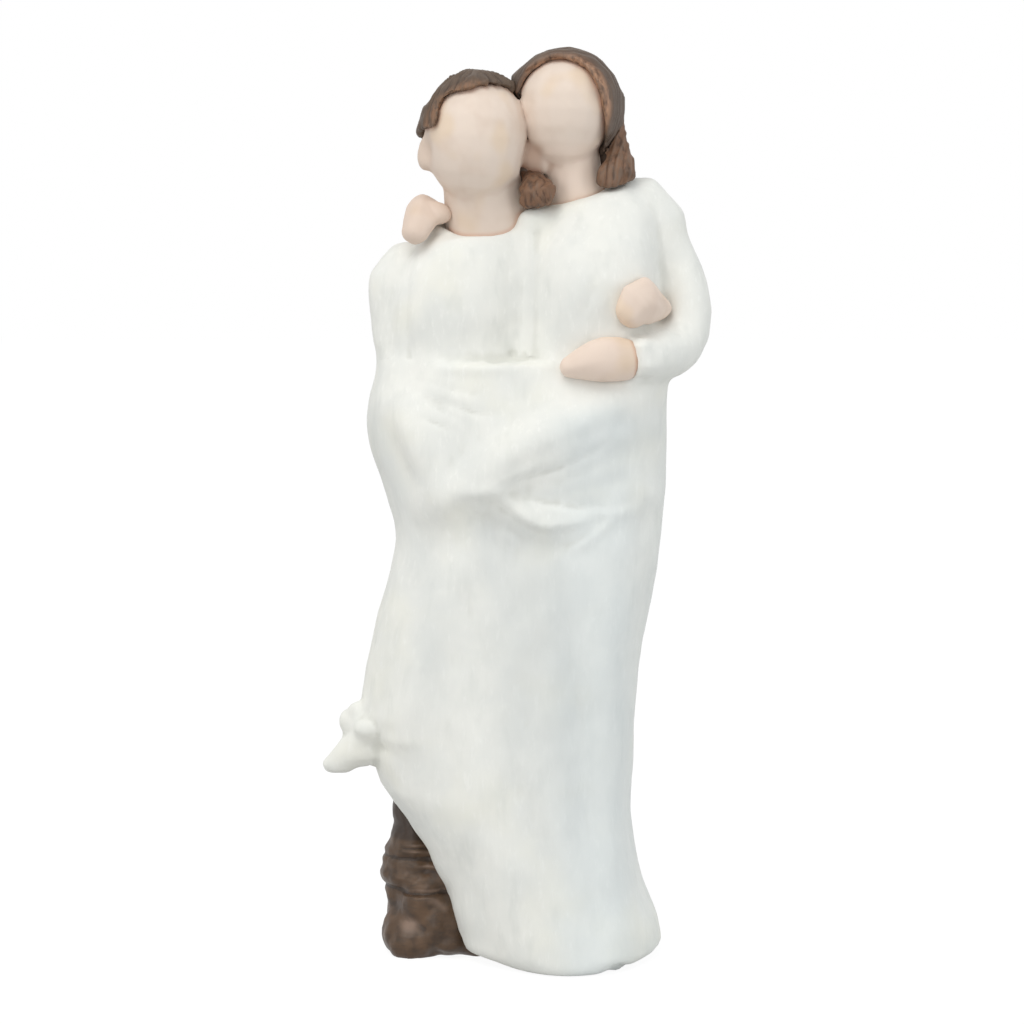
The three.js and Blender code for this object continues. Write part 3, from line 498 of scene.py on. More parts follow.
wrapFolds = [  # drawn from left to right
    {"path": [(-15, 74, 0), (-10, 77.5, 0.7), (-4, 82, 1), (0, 85, 1), (6.4, 87.6, 0.85), (12, 90.5, 0.7),
              (22, 95, 0.2)], "above": 5, "below": 3},
    {"path": [(-6, 77.8, 0.2), (-2.4, 80, 0.3), (3, 82.6, 0.25), (9, 85.4, 0.2), (18, 87.8, 0)],
     "above": 0.9, "below": 1.1},
    {"path": [(-3.4, 78.2, 0.2), (1, 79.6, 0.25), (6.5, 80.8, 0.25), (13, 83.6, 0.2), (18, 87.6, 0)],
     "above": 0.8, "below": 1},
    {"path": [(-1, 80.6, 0), (3, 81.6, 0.35), (8, 83.4, 0.35), (14, 86, 0)], "above": 1, "below": 1},
    {"path": [(-0.6, 77.4, 0), (2, 77, -0.2), (5.5, 76.2, -0.35), (10.4, 75.6, -0.3), (15, 75, 0)],
     "above": 1.3, "below": 0.8},
    {"path": [(-3.2, 77.1, 0.1), (-1.6, 76, 0.4), (1, 74.1, 0.65), (3.3, 72.7, 0.75), (5.5, 72.5, 0.65),
              (9.9, 73.2, 0.3), (13, 74.2, 0)], "above": 1.2, "below": 0.8},
    {"path": [(7, 75.6, 0), (10, 74.6, -0.6), (14, 74.8, -0.9), (19, 75.6, -0.8), (24, 77, 0)],
     "above": 2.4, "below": 5},
    {"path": [(8, 68, 0), (11, 69.6, 0.25), (14, 72, 0.25), (17, 75, 0)], "above": 0.6, "below": 0.9},
    {"path": [(-5, 74, -0.2), (-1.4, 71, -0.4), (3, 69.4, -0.35), (8, 69.2, -0.2), (13, 70, 0)],
     "above": 1.4, "below": 3},
    {"path": [(-11, 77.4, 0), (-8.5, 78, 0.35), (-5.4, 78, 0.6), (-3, 77.8, 0.4), (-1, 77.6, 0)],
     "above": 1.3, "below": 1},
    {"path": [(-12.4, 76.4, 0.3), (-14, 80.4, 0.5), (-16, 84.8, 0.6), (-19.2, 92.3, 0.2)],
     "above": 1.8, "below": 3.4},
    {"path": [(-15.6, 77.4, 0), (-18, 81.4, -0.4), (-20.4, 85.6, -0.4), (-22.6, 90, 0)],
     "above": 1.8, "below": 1.8},
    {"path": [(-6, 76, 0), (-2, 71, -0.7), (0.5, 66, -0.6), (3, 58, 0)], "above": 3.4, "below": 3.4},
    {"path": [(-18, 34, 0), (-17.2, 42, 0.5), (-15.6, 50, 0.5), (-11, 62, 0)], "above": 2.2, "below": 2.2},
    {"path": [(-25, 36, 0), (-21, 46, 0.5), (-16, 56, 0.4), (-9, 68, 0)], "above": 2.4, "below": 3},
    {"path": [(0.5, 42, 0), (3, 32, 0.5), (6.5, 22, 0.6), (11, 12, 0.5), (16, 4, 0)],
     "above": 2.6, "below": 2.2},
    {"path": [(13, 52, 0), (14.5, 36, 0.45), (16, 20, 0.5), (19, 6, 0)], "above": 2.2, "below": 2.8},
    {"path": [(-8, 64, 0), (-6, 50, -0.4), (-4, 34, -0.4), (-4, 18, 0)], "above": 2.6, "below": 2.6},
    {"path": [(8, 66, 0), (9.5, 50, -0.5), (11, 34, -0.4), (12, 20, 0)], "above": 2.6, "below": 2.6},
    {"path": [(-22, 38.2, 0), (-20.5, 37.5, 0.25), (-18, 37.2, 0.25), (-15, 37.4, 0)],
     "above": 1.4, "below": 0.9},
    {"path": [(-27, 34.6, 0), (-24.4, 35.6, -0.35), (-21.6, 35.6, -0.25), (-18, 34, 0)],
     "above": 1, "below": 1.4},
    {"path": [(-18, 94.5, 0), (-13, 92.6, -0.25), (-7, 90.8, -0.28), (-2, 90, 0)], "above": 0.8, "below": 0.8},
    {"path": [(-16, 92.6, 0), (-12, 91, -0.25), (-8, 89, 0)], "above": 0.7, "below": 0.7},
    {"path": [(-15, 95.6, 0), (-10, 94.2, -0.18), (-5, 93.4, 0)], "above": 0.6, "below": 0.6},
    {"path": [(-17, 90.2, 0), (-13, 89, -0.2), (-9, 87.4, 0)], "above": 0.6, "below": 0.6},
    {"path": [(-14, 97.7, 0), (-10, 97.7, 0.3), (-3, 97.7, 0.3), (0, 97.7, 0)], "above": 0.6, "below": 0.9},
]
backFolds = [
    {"path": [(18, 96, 0), (15, 78, 0.4), (13, 50, 0.5), (15, 20, 0.5), (18, 4, 0.2)],
     "above": 2.6, "below": 2.6},
    {"path": [(8, 92, 0), (6, 70, 0.3), (5, 40, 0.5), (7, 12, 0.5), (8, 2, 0.3)], "above": 2.4, "below": 2.4},
    {"path": [(-4, 94, 0), (-3, 74, 0.4), (-4, 46, 0.4), (-2, 16, 0.5), (-1, 4, 0.3)],
     "above": 2.6, "below": 2.6},
    {"path": [(-14, 88, 0), (-12, 68, 0.4), (-12, 44, 0.5), (-9, 24, 0.3), (-6, 14, 0)],
     "above": 2.6, "below": 2.6},
    {"path": [(16, 86, 0), (6, 80, -0.35), (-6, 78, -0.35), (-16, 82, 0)], "above": 2, "below": 2.4},
]
clothesFolds = [  # the first is the bodice's edge
    {"path": [(1.9, 99, 0), (1.9, 104, 0.4), (1.9, 116, 0.35), (2, 122, 0)], "above": 1, "below": 1},
    {"path": [(-8, 101.5, -0.1), (-1.8, 103.5, -0.2), (-2.5, 108, -0.1), (-5, 111, 0)],
     "above": 2.6, "below": 2.6},
    {"path": [(-17.6, 99.5, -0.2), (-18, 104, -0.35), (-18, 112, -0.3), (-16.5, 117, 0)],
     "above": 0.8, "below": 0.8},
    {"path": [(12, 100, 0), (14.5, 106, -0.25), (16, 112, 0)], "above": 1.6, "below": 1.6},
    {"path": [(8, 104, 0), (11, 108, -0.2), (14, 114, 0)], "above": 1.2, "below": 1.2},
]

clothSurface = {
    "front": (0.05, 0.6),  # facings between which the folds set in
    "clothesFoot": (99.4, 98),  # heights between which the clothes' folds give way to the wrap's
    "backTop": (97, 93),  # heights between which the back's folds set in
    "foot": (0, 3),  # the resting face stays flat
    "grains": [
        {"size": 6, "stretch": (1, 1, 0.5), "seed": 3.1, "height": 0.35},
        {"size": 2.8, "stretch": (1, 1, 0.6), "seed": 9.4, "height": 0.14},
        {"size": 1.3, "stretch": (1, 1, 0.35), "seed": 7.7, "height": 0.05},
    ],
}


def clothRelief(co, normal):
    z = co[:, 2]
    front = smoothstep(*clothSurface["front"], -normal[:, 1])
    back = smoothstep(*clothSurface["front"], normal[:, 1]) * smoothstep(*clothSurface["backTop"], z)
    wrapped = smoothstep(*clothSurface["clothesFoot"], z)
    folds = (drawn(co, wrapFolds) * wrapped + drawn(co, clothesFolds) * (1 - wrapped)) * front
    folds += drawn(co, backFolds) * back
    fine = sum(grain(co, **one) for one in clothSurface["grains"])
    return folds + fine * smoothstep(*clothSurface["foot"], z)


cloth = {
    "nodes": ["shared_wrap", "taller_bodice", "shorter_shirt", "taller_left_sleeve", "shorter_left_sleeve",
              "taller_right_sleeve", "shorter_right_sleeve"],
    "grow": 0.35,  # closes the glue joints
    "size": 0.4,
    "rounds": 5,
    "extra": 30,  # more rounds away from the blown corner and the raised hem
    "calm": 24,  # more rounds where two castings' edges fade
    "swell": 0.05,
    "reach": 1.6,  # how far a casting is drawn to the skin
    "nudges": [
        {"at": (-25.2, 31.3), "reach": (2.4, 1.5), "move": (0, 0.8)},  # the blown corner's lower side
        {"at": (-31.2, 32), "reach": (1.5, 2), "move": (0.5, 0)},  # its tip
        {"at": (16.2, 0), "reach": (1.8, 1.6), "move": (0, 0.9)},  # the notch in the hem
        {"at": (-13, 13.5), "reach": (3, 6), "move": (-0.8, 0)},  # the raised hem beside the boots
        {"at": (-8.5, 5.5), "reach": (3.5, 5.5), "move": (-1.3, -0.2)},
        {"at": (-6.2, 1.5), "reach": (2.5, 2.5), "move": (-0.9, 0)},
    ],
}
crispEdges = {  # what stays sharp
    "corner": {"x": -23, "nub": -20, "nubHeight": 38.6, "nubHalf": 3, "from": 24, "to": 48},
    "beside": 0.37,  # the least height of an edge line that counts as beside it
    "front": {
        "line": [{"path": [(-19.3, 27.2, 1), (-15.8, 21.5, 1), (-12.6, 15.1, 1), (-10.7, 9.7, 1), (-8, 3.9, 1)],
                  "above": 2, "below": 2}],
        "deepest": 6,
    },
    "back": {
        "line": [{"path": [(-19.3, 28, 1), (-16.4, 23.6, 1), (-13.6, 19.5, 1), (-8.9, 13, 1), (-5.6, 8, 1),
                           (-4.4, 4, 1)], "above": 2.2, "below": 2.2}],
        "nearest": 0,
    },
}
fadedEdges = {  # what is smoothed away
    "ledge": {"height": 98.8, "half": 2.5, "left": -12.5, "right": 1.5, "deepest": 2},
    "seam": {"x": 1.9, "half": 3.2, "from": 100.5, "to": 121.5, "deepest": -2},
}
fillers = {
    "bodice": [  # the groove beside the shirt, then the shoulder below the lock
        {"at": (1.2, -3.5, 110), "size": (2.2, 3.1, 13)}, {"at": (1, -3.4, 102), "size": (2.3, 3.3, 8)},
        {"at": (3.2, -3, 121.8), "size": (3.4, 2.7, 2.3)}, {"at": (1.6, -2.8, 121.4), "size": (2, 2.4, 2.4)},
    ],
    "collar": beads([(-13.4, -1, 120.2), (-11.8, -2.3, 119.6), (-10.2, -3.4, 118.7), (-8.2, -4.6, 118.1),
                     (-6.1, -5.2, 117.7), (-4.4, -5.1, 117.7), (-2.8, -4.6, 117.9), (-1.5, -3.8, 118.4),
                     (-0.3, -2.8, 119.2), (0.6, -1.7, 120.4), (1.2, -0.7, 121.6)], 1.2),
    "cuff": [{"at": (20.2, -10.9, 101.2), "size": (2.4, 2.9, 2.3)},
             {"at": (21, -10.9, 98.4), "size": (2.2, 2.9, 2.6)}],
    "corner": [{"at": (-24.1, -6.9, 38.6), "size": (2.9, 2.2, 1.9)},
               {"at": (-26.2, -3.7, 41.2), "size": (1.9, 1.7, 1.7)}],
}
cloth["lumps"] = sum(fillers.values(), [])


def crisp(co):
    x, y, z = co.T
    corner, front, back = crispEdges["corner"], crispEdges["front"], crispEdges["back"]
    limit = np.where(np.abs(z - corner["nubHeight"]) < corner["nubHalf"], corner["nub"], corner["x"])
    blown = (x < limit) & (z > corner["from"]) & (z < corner["to"])
    before = (drawn(co, front["line"]) > crispEdges["beside"]) & (y < front["deepest"])
    behind = (drawn(co, back["line"]) > crispEdges["beside"]) & (y > back["nearest"])
    return blown | before | behind


def faded(co):
    x, y, z = co.T
    ledge, seam = fadedEdges["ledge"], fadedEdges["seam"]
    level = (np.abs(z - ledge["height"]) < ledge["half"]) & ((x < ledge["left"]) | (x > ledge["right"]))
    upright = (np.abs(x - seam["x"]) < seam["half"]) & (z > seam["from"]) & (z < seam["to"])
    return (level & (y < ledge["deepest"])) | (upright & (y < seam["deepest"]))


clothSkin = softJoint(cloth, clothRelief, crisp, faded)
print("cloth skin ready")

paintedDrapeShade = [  # painted grey shade where the drapery lies in shade
    {"path": [(1, 69, 0.7), (3, 60, 0.9), (5, 46, 1), (7, 34, 0.6), (8, 22, 0.2)], "above": 7, "below": 7},
    {"path": [(-4, 71, 0.6), (-2.5, 67, 0.9), (0, 60, 0.5)], "above": 3, "below": 3},
    {"path": [(3, 77.4, 0.3), (9, 78.8, 0.7), (17, 80.6, 0.8)], "above": 1.6, "below": 1.4},
    {"path": [(9, 85, 0.3), (15, 86, 0.6), (21, 88, 0.6)], "above": 3.4, "below": 3},
    {"path": [(-24, 92, 0.4), (-22.4, 86, 0.8), (-20, 80, 0.8), (-17, 70, 0.3)], "above": 2, "below": 2},
    {"path": [(-16, 34, 0), (-14, 46, 0.35), (-14, 62, 0.5), (-15.5, 67, 0.5)], "above": 3, "below": 3},
    {"path": [(-14, 60, 0.2), (-2, 42, 0.35), (6, 20, 0.5), (8, 10, 0.2)], "above": 14, "below": 12},
    {"path": [(-13, 86, 0.2), (-8, 83, 0.4), (-4, 82, 0.3)], "above": 4, "below": 3},
    {"path": [(-20, 60, 0.2), (-21, 50, 0.35), (-22, 44, 0.2)], "above": 4, "below": 4},
]

clothFinish = {
    "grow": 0.38,
    "rounds": 2,
    "slack": 0.28,  # how far a casting draws back where the skin is out of reach
    "shadeTop": (101, 97),  # heights between which the painted shade sets in, going down
    "shadeDepth": (6, -2),  # and depths, coming forward
    "paintedLight": {"at": (9.4, 110), "reach": (4.5, 4.5), "depth": (2, -2), "more": 1.5},  # more painted shade on the bodice's side
    # Painted cool shade on the wrap's right side
    "coolShade": {"from": 0, "full": 14, "easeFrom": 15, "easeTo": 21, "ease": 0.6, "top": (95, 88)},
}


def clothPiece(spec):
    bm = joined([spec["node"]], clothFinish["grow"])
    fill(bm, spec.get("lumps", []))
    obj = asObject(bm, spec["name"])
    reskin(obj, spec["size"])
    relax(obj, clothFinish["rounds"])
    markHollows(obj, settle(obj, clothSkin, cloth["reach"], clothFinish["slack"]))
    co = places(obj)
    x, y, z = co.T
    # painted shade in the drapery's shaded folds
    washAndShade = np.clip(drawn(co, paintedDrapeShade), 0, 1)
    washAndShade *= smoothstep(*clothFinish["shadeTop"], z) * smoothstep(*clothFinish["shadeDepth"], y)
    paintedLight = clothFinish["paintedLight"]
    more = paintedLight["more"] * spot(co, paintedLight["at"], paintedLight["reach"]) * smoothstep(*paintedLight["depth"], y)
    mark(obj, "washAndShade", np.maximum(washAndShade, spec.get("paintedShade", 0) * (1 + more)))
    coolShade = clothFinish["coolShade"]
    ease = 1 - coolShade["ease"] * smoothstep(coolShade["easeFrom"], coolShade["easeTo"], x)
    mark(obj, "coolShade", smoothstep(coolShade["from"], coolShade["full"], x) * ease * smoothstep(*coolShade["top"], z))
    finished(obj, spec["node"], spec["paint"])
    return obj


wrapCloth = {"name": "wrapCloth", "node": "shared_wrap", "size": 0.47, "slot": "wrap_paint",
             "paint": creamPaint("wrapPaint", (1, 1, 0.3)), "lumps": fillers["corner"]}
clothes = {"size": 0.4, "slot": "clothes_paint", "paint": creamPaint("clothesPaint", (1, 1, 0.4))}
# the bodice and the taller one's left sleeve carry a little painted shade all over
bodiceCloth = {**clothes, "name": "bodiceCloth", "node": "taller_bodice", "lumps": fillers["bodice"],
               "paintedShade": 0.15}
shirtCloth = {**clothes, "name": "shirtCloth", "node": "shorter_shirt", "lumps": fillers["collar"]}
sleeves = [
    {**clothes, "name": "tallerLeftSleeve", "node": "taller_left_sleeve", "lumps": fillers["cuff"],
     "paintedShade": 0.15},
    {**clothes, "name": "shorterLeftSleeve", "node": "shorter_left_sleeve"},
    {**clothes, "name": "tallerRightSleeve", "node": "taller_right_sleeve"},
    {**clothes, "name": "shorterRightSleeve", "node": "shorter_right_sleeve"},
]
clothTrees = [treeOf(clothPiece(spec)) for spec in [wrapCloth, bodiceCloth, shirtCloth] + sleeves]


# Hair, combed in relief. A wave is its strands along each coordinate, its sway and its share of the height

shortHair = {
    "name": "shortHair", "node": "shorter_hair", "size": 0.25, "rounds": 10, "swell": 0.1,
    "slot": "short_hair_paint", "axis": (-6.6, -2.4),
    "lumps": [{"at": (-1.2, -2.6, 143.2), "size": (1.3, 1.4, 1.6)}],  # where the two heads of hair meet
    "crown": [(-14.5, 140), (-13, 142.6), (-11.5, 144.3), (-9.9, 144.9), (-8.6, 145.9), (-7.6, 146.2),
              (-6.6, 146.2), (-5.7, 146), (-4.7, 145.6), (-3.7, 145.4), (-2.7, 144.9), (-1.8, 144.6),
              (-0.8, 144.1)],
    "round": 2.8, "up": 0.12, "deep": 0.08,  # tufts for each radian round the head, and for each mm
    "tufts": {"size": 1, "seed": 1.3}, "tuftHeight": 0.58, "tuftLow": 0.7,
    "strands": {"size": 0.22, "seed": 6.1, "height": 0.3},
    "calm": {"radii": (5.5, 1.5), "share": 0.7},  # the whorl on top is smoother
}
longHair = {
    "name": "longHair", "node": "taller_hair", "size": 0.28, "rounds": 3, "swell": -0.1,
    "slot": "long_hair_paint", "axis": (8.3, 0.8),
    "lumps": [  # the dark hair behind the touching heads
        {"at": (1.2, 1, 129.5), "size": (2.4, 1.8, 5.5)}, {"at": (1.8, 2.2, 124.4), "size": (1.8, 1.8, 2.4)},
        {"at": (0.3, 0.4, 144.6), "size": (1.4, 1.8, 1.6)},
    ],
    "crown": [(-1.4, 144.3), (0, 145.7), (1.2, 146.7), (3.1, 148.2), (5.1, 149), (7, 149.35), (8.5, 149.5),
              (10, 149.2), (11.9, 148.5), (12.9, 148), (13.9, 147.2), (14.8, 146.1), (15.8, 145), (16.8, 142.8),
              (18.5, 140)],
    "spacing": 1.2, "height": 0.077,
    "drift": {"size": 5, "stretch": (1, 1, 0.4), "seed": 2.2},
    "swept": [((0, 0.9, 0), 3, 1), ((0, 2.1, 0), 4.5, 0.5)],  # over the top
    "falling": [((7.5,), 4.5, 1), ((16,), 6, 0.5)],  # down the back, counted round the head
    "back": (-1, 5),  # depths behind the axis between which the one gives way to the other
}
lockTip = [{"at": (1.9, -5, 124.7), "size": (1.5, 1.4, 1.5)}]
lock = {"size": 0.2, "rounds": 3, "swell": 0.15, "slot": "long_hair_paint", "spacing": 1.5}
leftLock = {
    **lock, "name": "leftLock", "node": "taller_left_lock", "height": 0.091,
    "drift": {"size": 3.5, "stretch": (1, 1, 0.5), "seed": 4.4},
    "waves": [((1.1, 0, -0.22), 5, 1), ((2.3, 0, -0.575), 8, 0.5)],
    "spread": {"low": 1.2, "high": 1.0, "from": 128, "to": 134},  # the ends flare to the viewer's left
}
rightLock = {
    **lock, "name": "rightLock", "node": "taller_right_lock", "height": 0.104, "lumps": lockTip,
    "drift": {"size": 2.6, "seed": 4.4},
    "waves": [((0.6, 0, 0.6), 7, 1), ((1.7, 0, 0), 9, 0.4)],
    "spread": {"low": 1.06, "high": 1.1, "from": 126, "to": 130},
    "lowered": {"from": 126.5, "share": 0.5},  # its top is low under the chin
    "paintedShadow": {"between": (127, 129.5), "share": 0.7},  # and its top darkened by painted shadow
}
hairline = beads([(0, -1.8, 142.4), (0.8, -2.1, 144.4), (2.1, -2.5, 146), (3.8, -2.8, 147.2), (5.6, -3, 147.9),
                  (7.5, -3.2, 148), (9.4, -4, 147.5), (11.1, -4.2, 146.5), (12.6, -4.6, 145),
                  (13.6, -4.9, 143.1), (14.2, -4.8, 141), (14.3, -4.6, 139.5)], 0.8)  # the rim beside the face
longHair["lumps"] += hairline
longHairJoint = {"nodes": ["taller_hair", "taller_left_lock", "taller_right_lock"], "grow": 0.3, "size": 0.3,
                 "lumps": longHair["lumps"] + lockTip, "rounds": 8, "swell": 0.15, "reach": 1.2}
hairSkin = softJoint(longHairJoint)
hairFinish = {
    "domeRounds": 4,  # smooths the crown again
    "bowls": {"rounds": 5, "depth": 0.08},
    "face": (6.9, 139.5), "faceReach": (7.8, 8.6),  # the painted strands follow the taller one's face
    "strand": {"out": 9, "deep": 0.9, "up": 0.12, "seed": 8.2, "middle": 0.5},
}


def rounded(co, crown):  # brings the top of the hair to a dome
    across, top = zip(*crown)
    return np.minimum(co[:, 2], np.interp(co[:, 0], across, top))


def wavy(coords, drift, waves, spec):
    k = 2 * math.pi / spec["spacing"]
    out = sum(np.cos(coords @ np.array(way) * k + drift * sway) * share for way, sway, share in waves)
    return out * spec["height"]


def aroundAxis(co, spec):
    return co[:, 0] - spec["axis"][0], co[:, 1] - spec["axis"][1]


def combedShort(co, spec):
    x, y = aroundAxis(co, spec)
    calm = spec["calm"]["share"] * smoothstep(*spec["calm"]["radii"], np.hypot(x, y))
    turn = np.arctan2(x, -y)
    along = np.stack([turn * spec["round"], co[:, 2] * spec["up"], co[:, 1] * spec["deep"]], axis=1)
    tufts = 1 - 2 * np.abs(grain(along, **spec["tufts"])) - spec["tuftLow"]
    return (tufts * spec["tuftHeight"] + grain(along, **spec["strands"])) * (1 - calm)


def combedLong(co, spec):
    x, y = aroundAxis(co, spec)
    drift = grain(co, **spec["drift"])
    back = smoothstep(*spec["back"], y)
    turn = np.arctan2(x, -y).reshape(-1, 1)
    return wavy(co, drift, spec["swept"], spec) * (1 - back) + wavy(turn, drift, spec["falling"], spec) * back


def combedLock(co, spec):
    return wavy(co, grain(co, **spec["drift"]), spec["waves"], spec)


def hairPiece(spec, comb, paint, skin=None):
    bm = joined([spec["node"]])
    fill(bm, spec.get("lumps", []))
    obj = asObject(bm, spec["name"])
    reskin(obj, spec["size"])
    relax(obj, spec["rounds"])
    push(obj, np.full(len(obj.data.vertices), spec["swell"]))
    if skin:
        settle(obj, skin, longHairJoint["reach"], shading=False)
    co = places(obj)
    if "spread" in spec:
        flare = spec["spread"]
        rise = smoothstep(flare["from"], flare["to"], co[:, 2])
        spread = flare["low"] + (flare["high"] - flare["low"]) * rise
        co[:, 0] = co[:, 0].max() + (co[:, 0] - co[:, 0].max()) * spread
    if "lowered" in spec:
        co[:, 2] -= np.maximum(co[:, 2] - spec["lowered"]["from"], 0) * (1 - spec["lowered"]["share"])
    if "crown" in spec:
        co[:, 2] = rounded(co, spec["crown"])
    put(obj, co)
    if "crown" in spec:
        relax(obj, hairFinish["domeRounds"])
    push(obj, comb(places(obj), spec))
    co = places(obj)
    sunk = bowls(obj, **hairFinish["bowls"])
    if "paintedShadow" in spec:
        sunk = np.maximum(sunk, spec["paintedShadow"]["share"] * smoothstep(*spec["paintedShadow"]["between"], co[:, 2]))
    markHollows(obj, sunk)
    (faceX, faceZ), (reachX, reachZ) = hairFinish["face"], hairFinish["faceReach"]
    strand = hairFinish["strand"]
    out = np.hypot((co[:, 0] - faceX) / reachX, np.maximum(co[:, 2] - faceZ, 0) / reachZ)
    along = np.stack([out * strand["out"], co[:, 1] * strand["deep"], co[:, 2] * strand["up"]], axis=1)
    mark(obj, "strand", grain(along, 1, seed=strand["seed"]) + strand["middle"])
    finished(obj, spec["node"], paint)
    return treeOf(obj)


shortPaint = hairPaint("shortHairPaint", {"centre": (-6.6, -9, 134), "reach": (8.5, 9.5, 9.1)},
                       dark=(62, 48, 38), middle=(103, 80, 62), warm=(142, 106, 80), rim=(94, 79, 66))
longPaint = hairPaint("longHairPaint", {"centre": (6.9, -7, 139.5), "reach": (7.8, 9, 8.6)},
                      dark=(66, 46, 36), middle=(110, 85, 68), warm=(192, 148, 118), rim=(98, 86, 76))
lockPaint = hairPaint("lockPaint", {"centre": (6.9, -7, 139.5), "reach": (14, 14, 20)},
                      dark=(58, 42, 33), middle=(104, 78, 60), warm=(128, 95, 72), rim=(122, 104, 90))
hairTrees = [
    hairPiece(shortHair, combedShort, shortPaint),
    hairPiece(longHair, combedLong, longPaint, hairSkin),
    hairPiece(leftLock, combedLock, lockPaint, hairSkin),
    hairPiece(rightLock, combedLock, lockPaint, hairSkin),
]


# Heads and hands

jaw = [{"at": (3, 0.5, 132.2), "size": (3.2, 2.5, 3.6)}]  # the jaw in shadow beside the shorter one's cheek
headJoint = {"nodes": ["shorter_head", "taller_head"], "grow": 0.3, "size": 0.35, "rounds": 10, "swell": 0.25,
             "reach": 1.4, "lumps": jaw}
headSkin = softJoint(headJoint)
skinWash = 1.0  # how far from cloth and hair the warm wash reaches
face = {"size": 0.3, "rounds": 3, "swell": 0.25, "paint": skinPaint("facePaint", (229, 213, 199))}
hand = {"size": 0.22, "rounds": 20, "swell": 0.25, "paint": skinPaint("handPaint", (232, 213, 198))}
shorterHead = {
    **face, "name": "shorterHead", "node": "shorter_head",
    "neck": {"between": (128.5, 121), "shade": 0.35},
    "ear": {"at": (-15, 132.6), "reach": (1.3, 2.08), "dent": 0.7, "between": (-12.2, -14.8), "shade": 0.7},
    "flare": {"push": 1.0, "heights": (131.5, 128), "across": (-5, 1)},  # the neck widens to the viewer's right
}
tallerHead = {
    **face, "name": "tallerHead", "node": "taller_head", "lumps": jaw,
    "cheek": {"between": (11, 15), "shade": 0.6},
    "paintedShadow": {"across": (5.4, 3), "heights": (135, 132.5)},  # painted shadow behind the shorter one's cheek
    "lit": (136, 131.5),  # painted light on the chin and neck
}
tallerLeftHand = {**hand, "name": "tallerLeftHand", "node": "taller_left_hand"}
shorterLeftHand = {
    **hand, "name": "shorterLeftHand", "node": "shorter_left_hand",
    "taper": {"between": (20, 26), "height": 106.4, "narrower": 0.45, "shift": 0.6},  # towards its sleeve
}
tallerRightHand = {
    **hand, "name": "tallerRightHand", "node": "taller_right_hand", "shade": 0.5,
    "lumps": [{"at": (-12.9, -2.5, 123.3), "size": (2.2, 1.8, 2.3)}],  # the wrist runs into the neck
    "slope": {"drop": 1.3, "across": (-16, -12.2), "heights": (120, 125)},  # falls towards the neck
}


def bent(co, spec):
    out = co.copy()
    if "taper" in spec:
        taper = spec["taper"]
        t = smoothstep(*taper["between"], co[:, 0])
        out[:, 2] = taper["height"] + (co[:, 2] - taper["height"]) * (1 - taper["narrower"] * t)
        out[:, 0] -= taper["shift"] * t
    if "slope" in spec:
        slope = spec["slope"]
        drop = slope["drop"] * smoothstep(*slope["across"], co[:, 0])
        out[:, 2] -= drop * smoothstep(*slope["heights"], co[:, 2])
    return out


def skinPiece(spec, skin=None):
    bm = joined([spec["node"]])
    fill(bm, spec.get("lumps", []))
    obj = asObject(bm, spec["name"])
    reskin(obj, spec["size"])
    relax(obj, spec["rounds"])
    push(obj, np.full(len(obj.data.vertices), spec["swell"]))
    put(obj, bent(places(obj), spec))
    sunk = settle(obj, skin, headJoint["reach"]) if skin else bowls(obj)
    co = places(obj)
    x, z = co[:, 0], co[:, 2]
    shade = np.full(len(co), spec.get("shade", 0.0))
    if "neck" in spec:
        shade = spec["neck"]["shade"] * smoothstep(*spec["neck"]["between"], z)
    if "cheek" in spec:
        shade = spec["cheek"]["shade"] * smoothstep(*spec["cheek"]["between"], x)
    if "ear" in spec:
        ear = spec["ear"]
        shade = np.maximum(shade, ear["shade"] * smoothstep(*ear["between"], x))
        push(obj, -ear["dent"] * spot(co, ear["at"], ear["reach"]))
    if "paintedShadow" in spec:
        paintedShadow = smoothstep(*spec["paintedShadow"]["across"], x) * smoothstep(*spec["paintedShadow"]["heights"], z)
        shade = np.maximum(shade, paintedShadow)
        sunk = np.maximum(sunk, paintedShadow)
        mark(obj, "light", smoothstep(*spec["lit"], z) * (1 - paintedShadow))
    if "flare" in spec:
        flare = spec["flare"]
        co = places(obj)
        wider = flare["push"] * smoothstep(*flare["heights"], co[:, 2])
        co[:, 0] += wider * smoothstep(*flare["across"], co[:, 0])
        put(obj, co)
    mark(obj, "shade", shade)
    edge = np.min([gapTo(obj, t, skinWash) for t in clothTrees + hairTrees], axis=0)
    mark(obj, "washAndShade", 1 - edge / skinWash)
    markHollows(obj, sunk)
    finished(obj, spec["node"], spec["paint"])


for spec in (shorterHead, tallerHead):
    skinPiece(spec, headSkin)
for spec in (tallerLeftHand, shorterLeftHand, tallerRightHand):
    skinPiece(spec)


# Legs and boots: one body, parted into the four castings

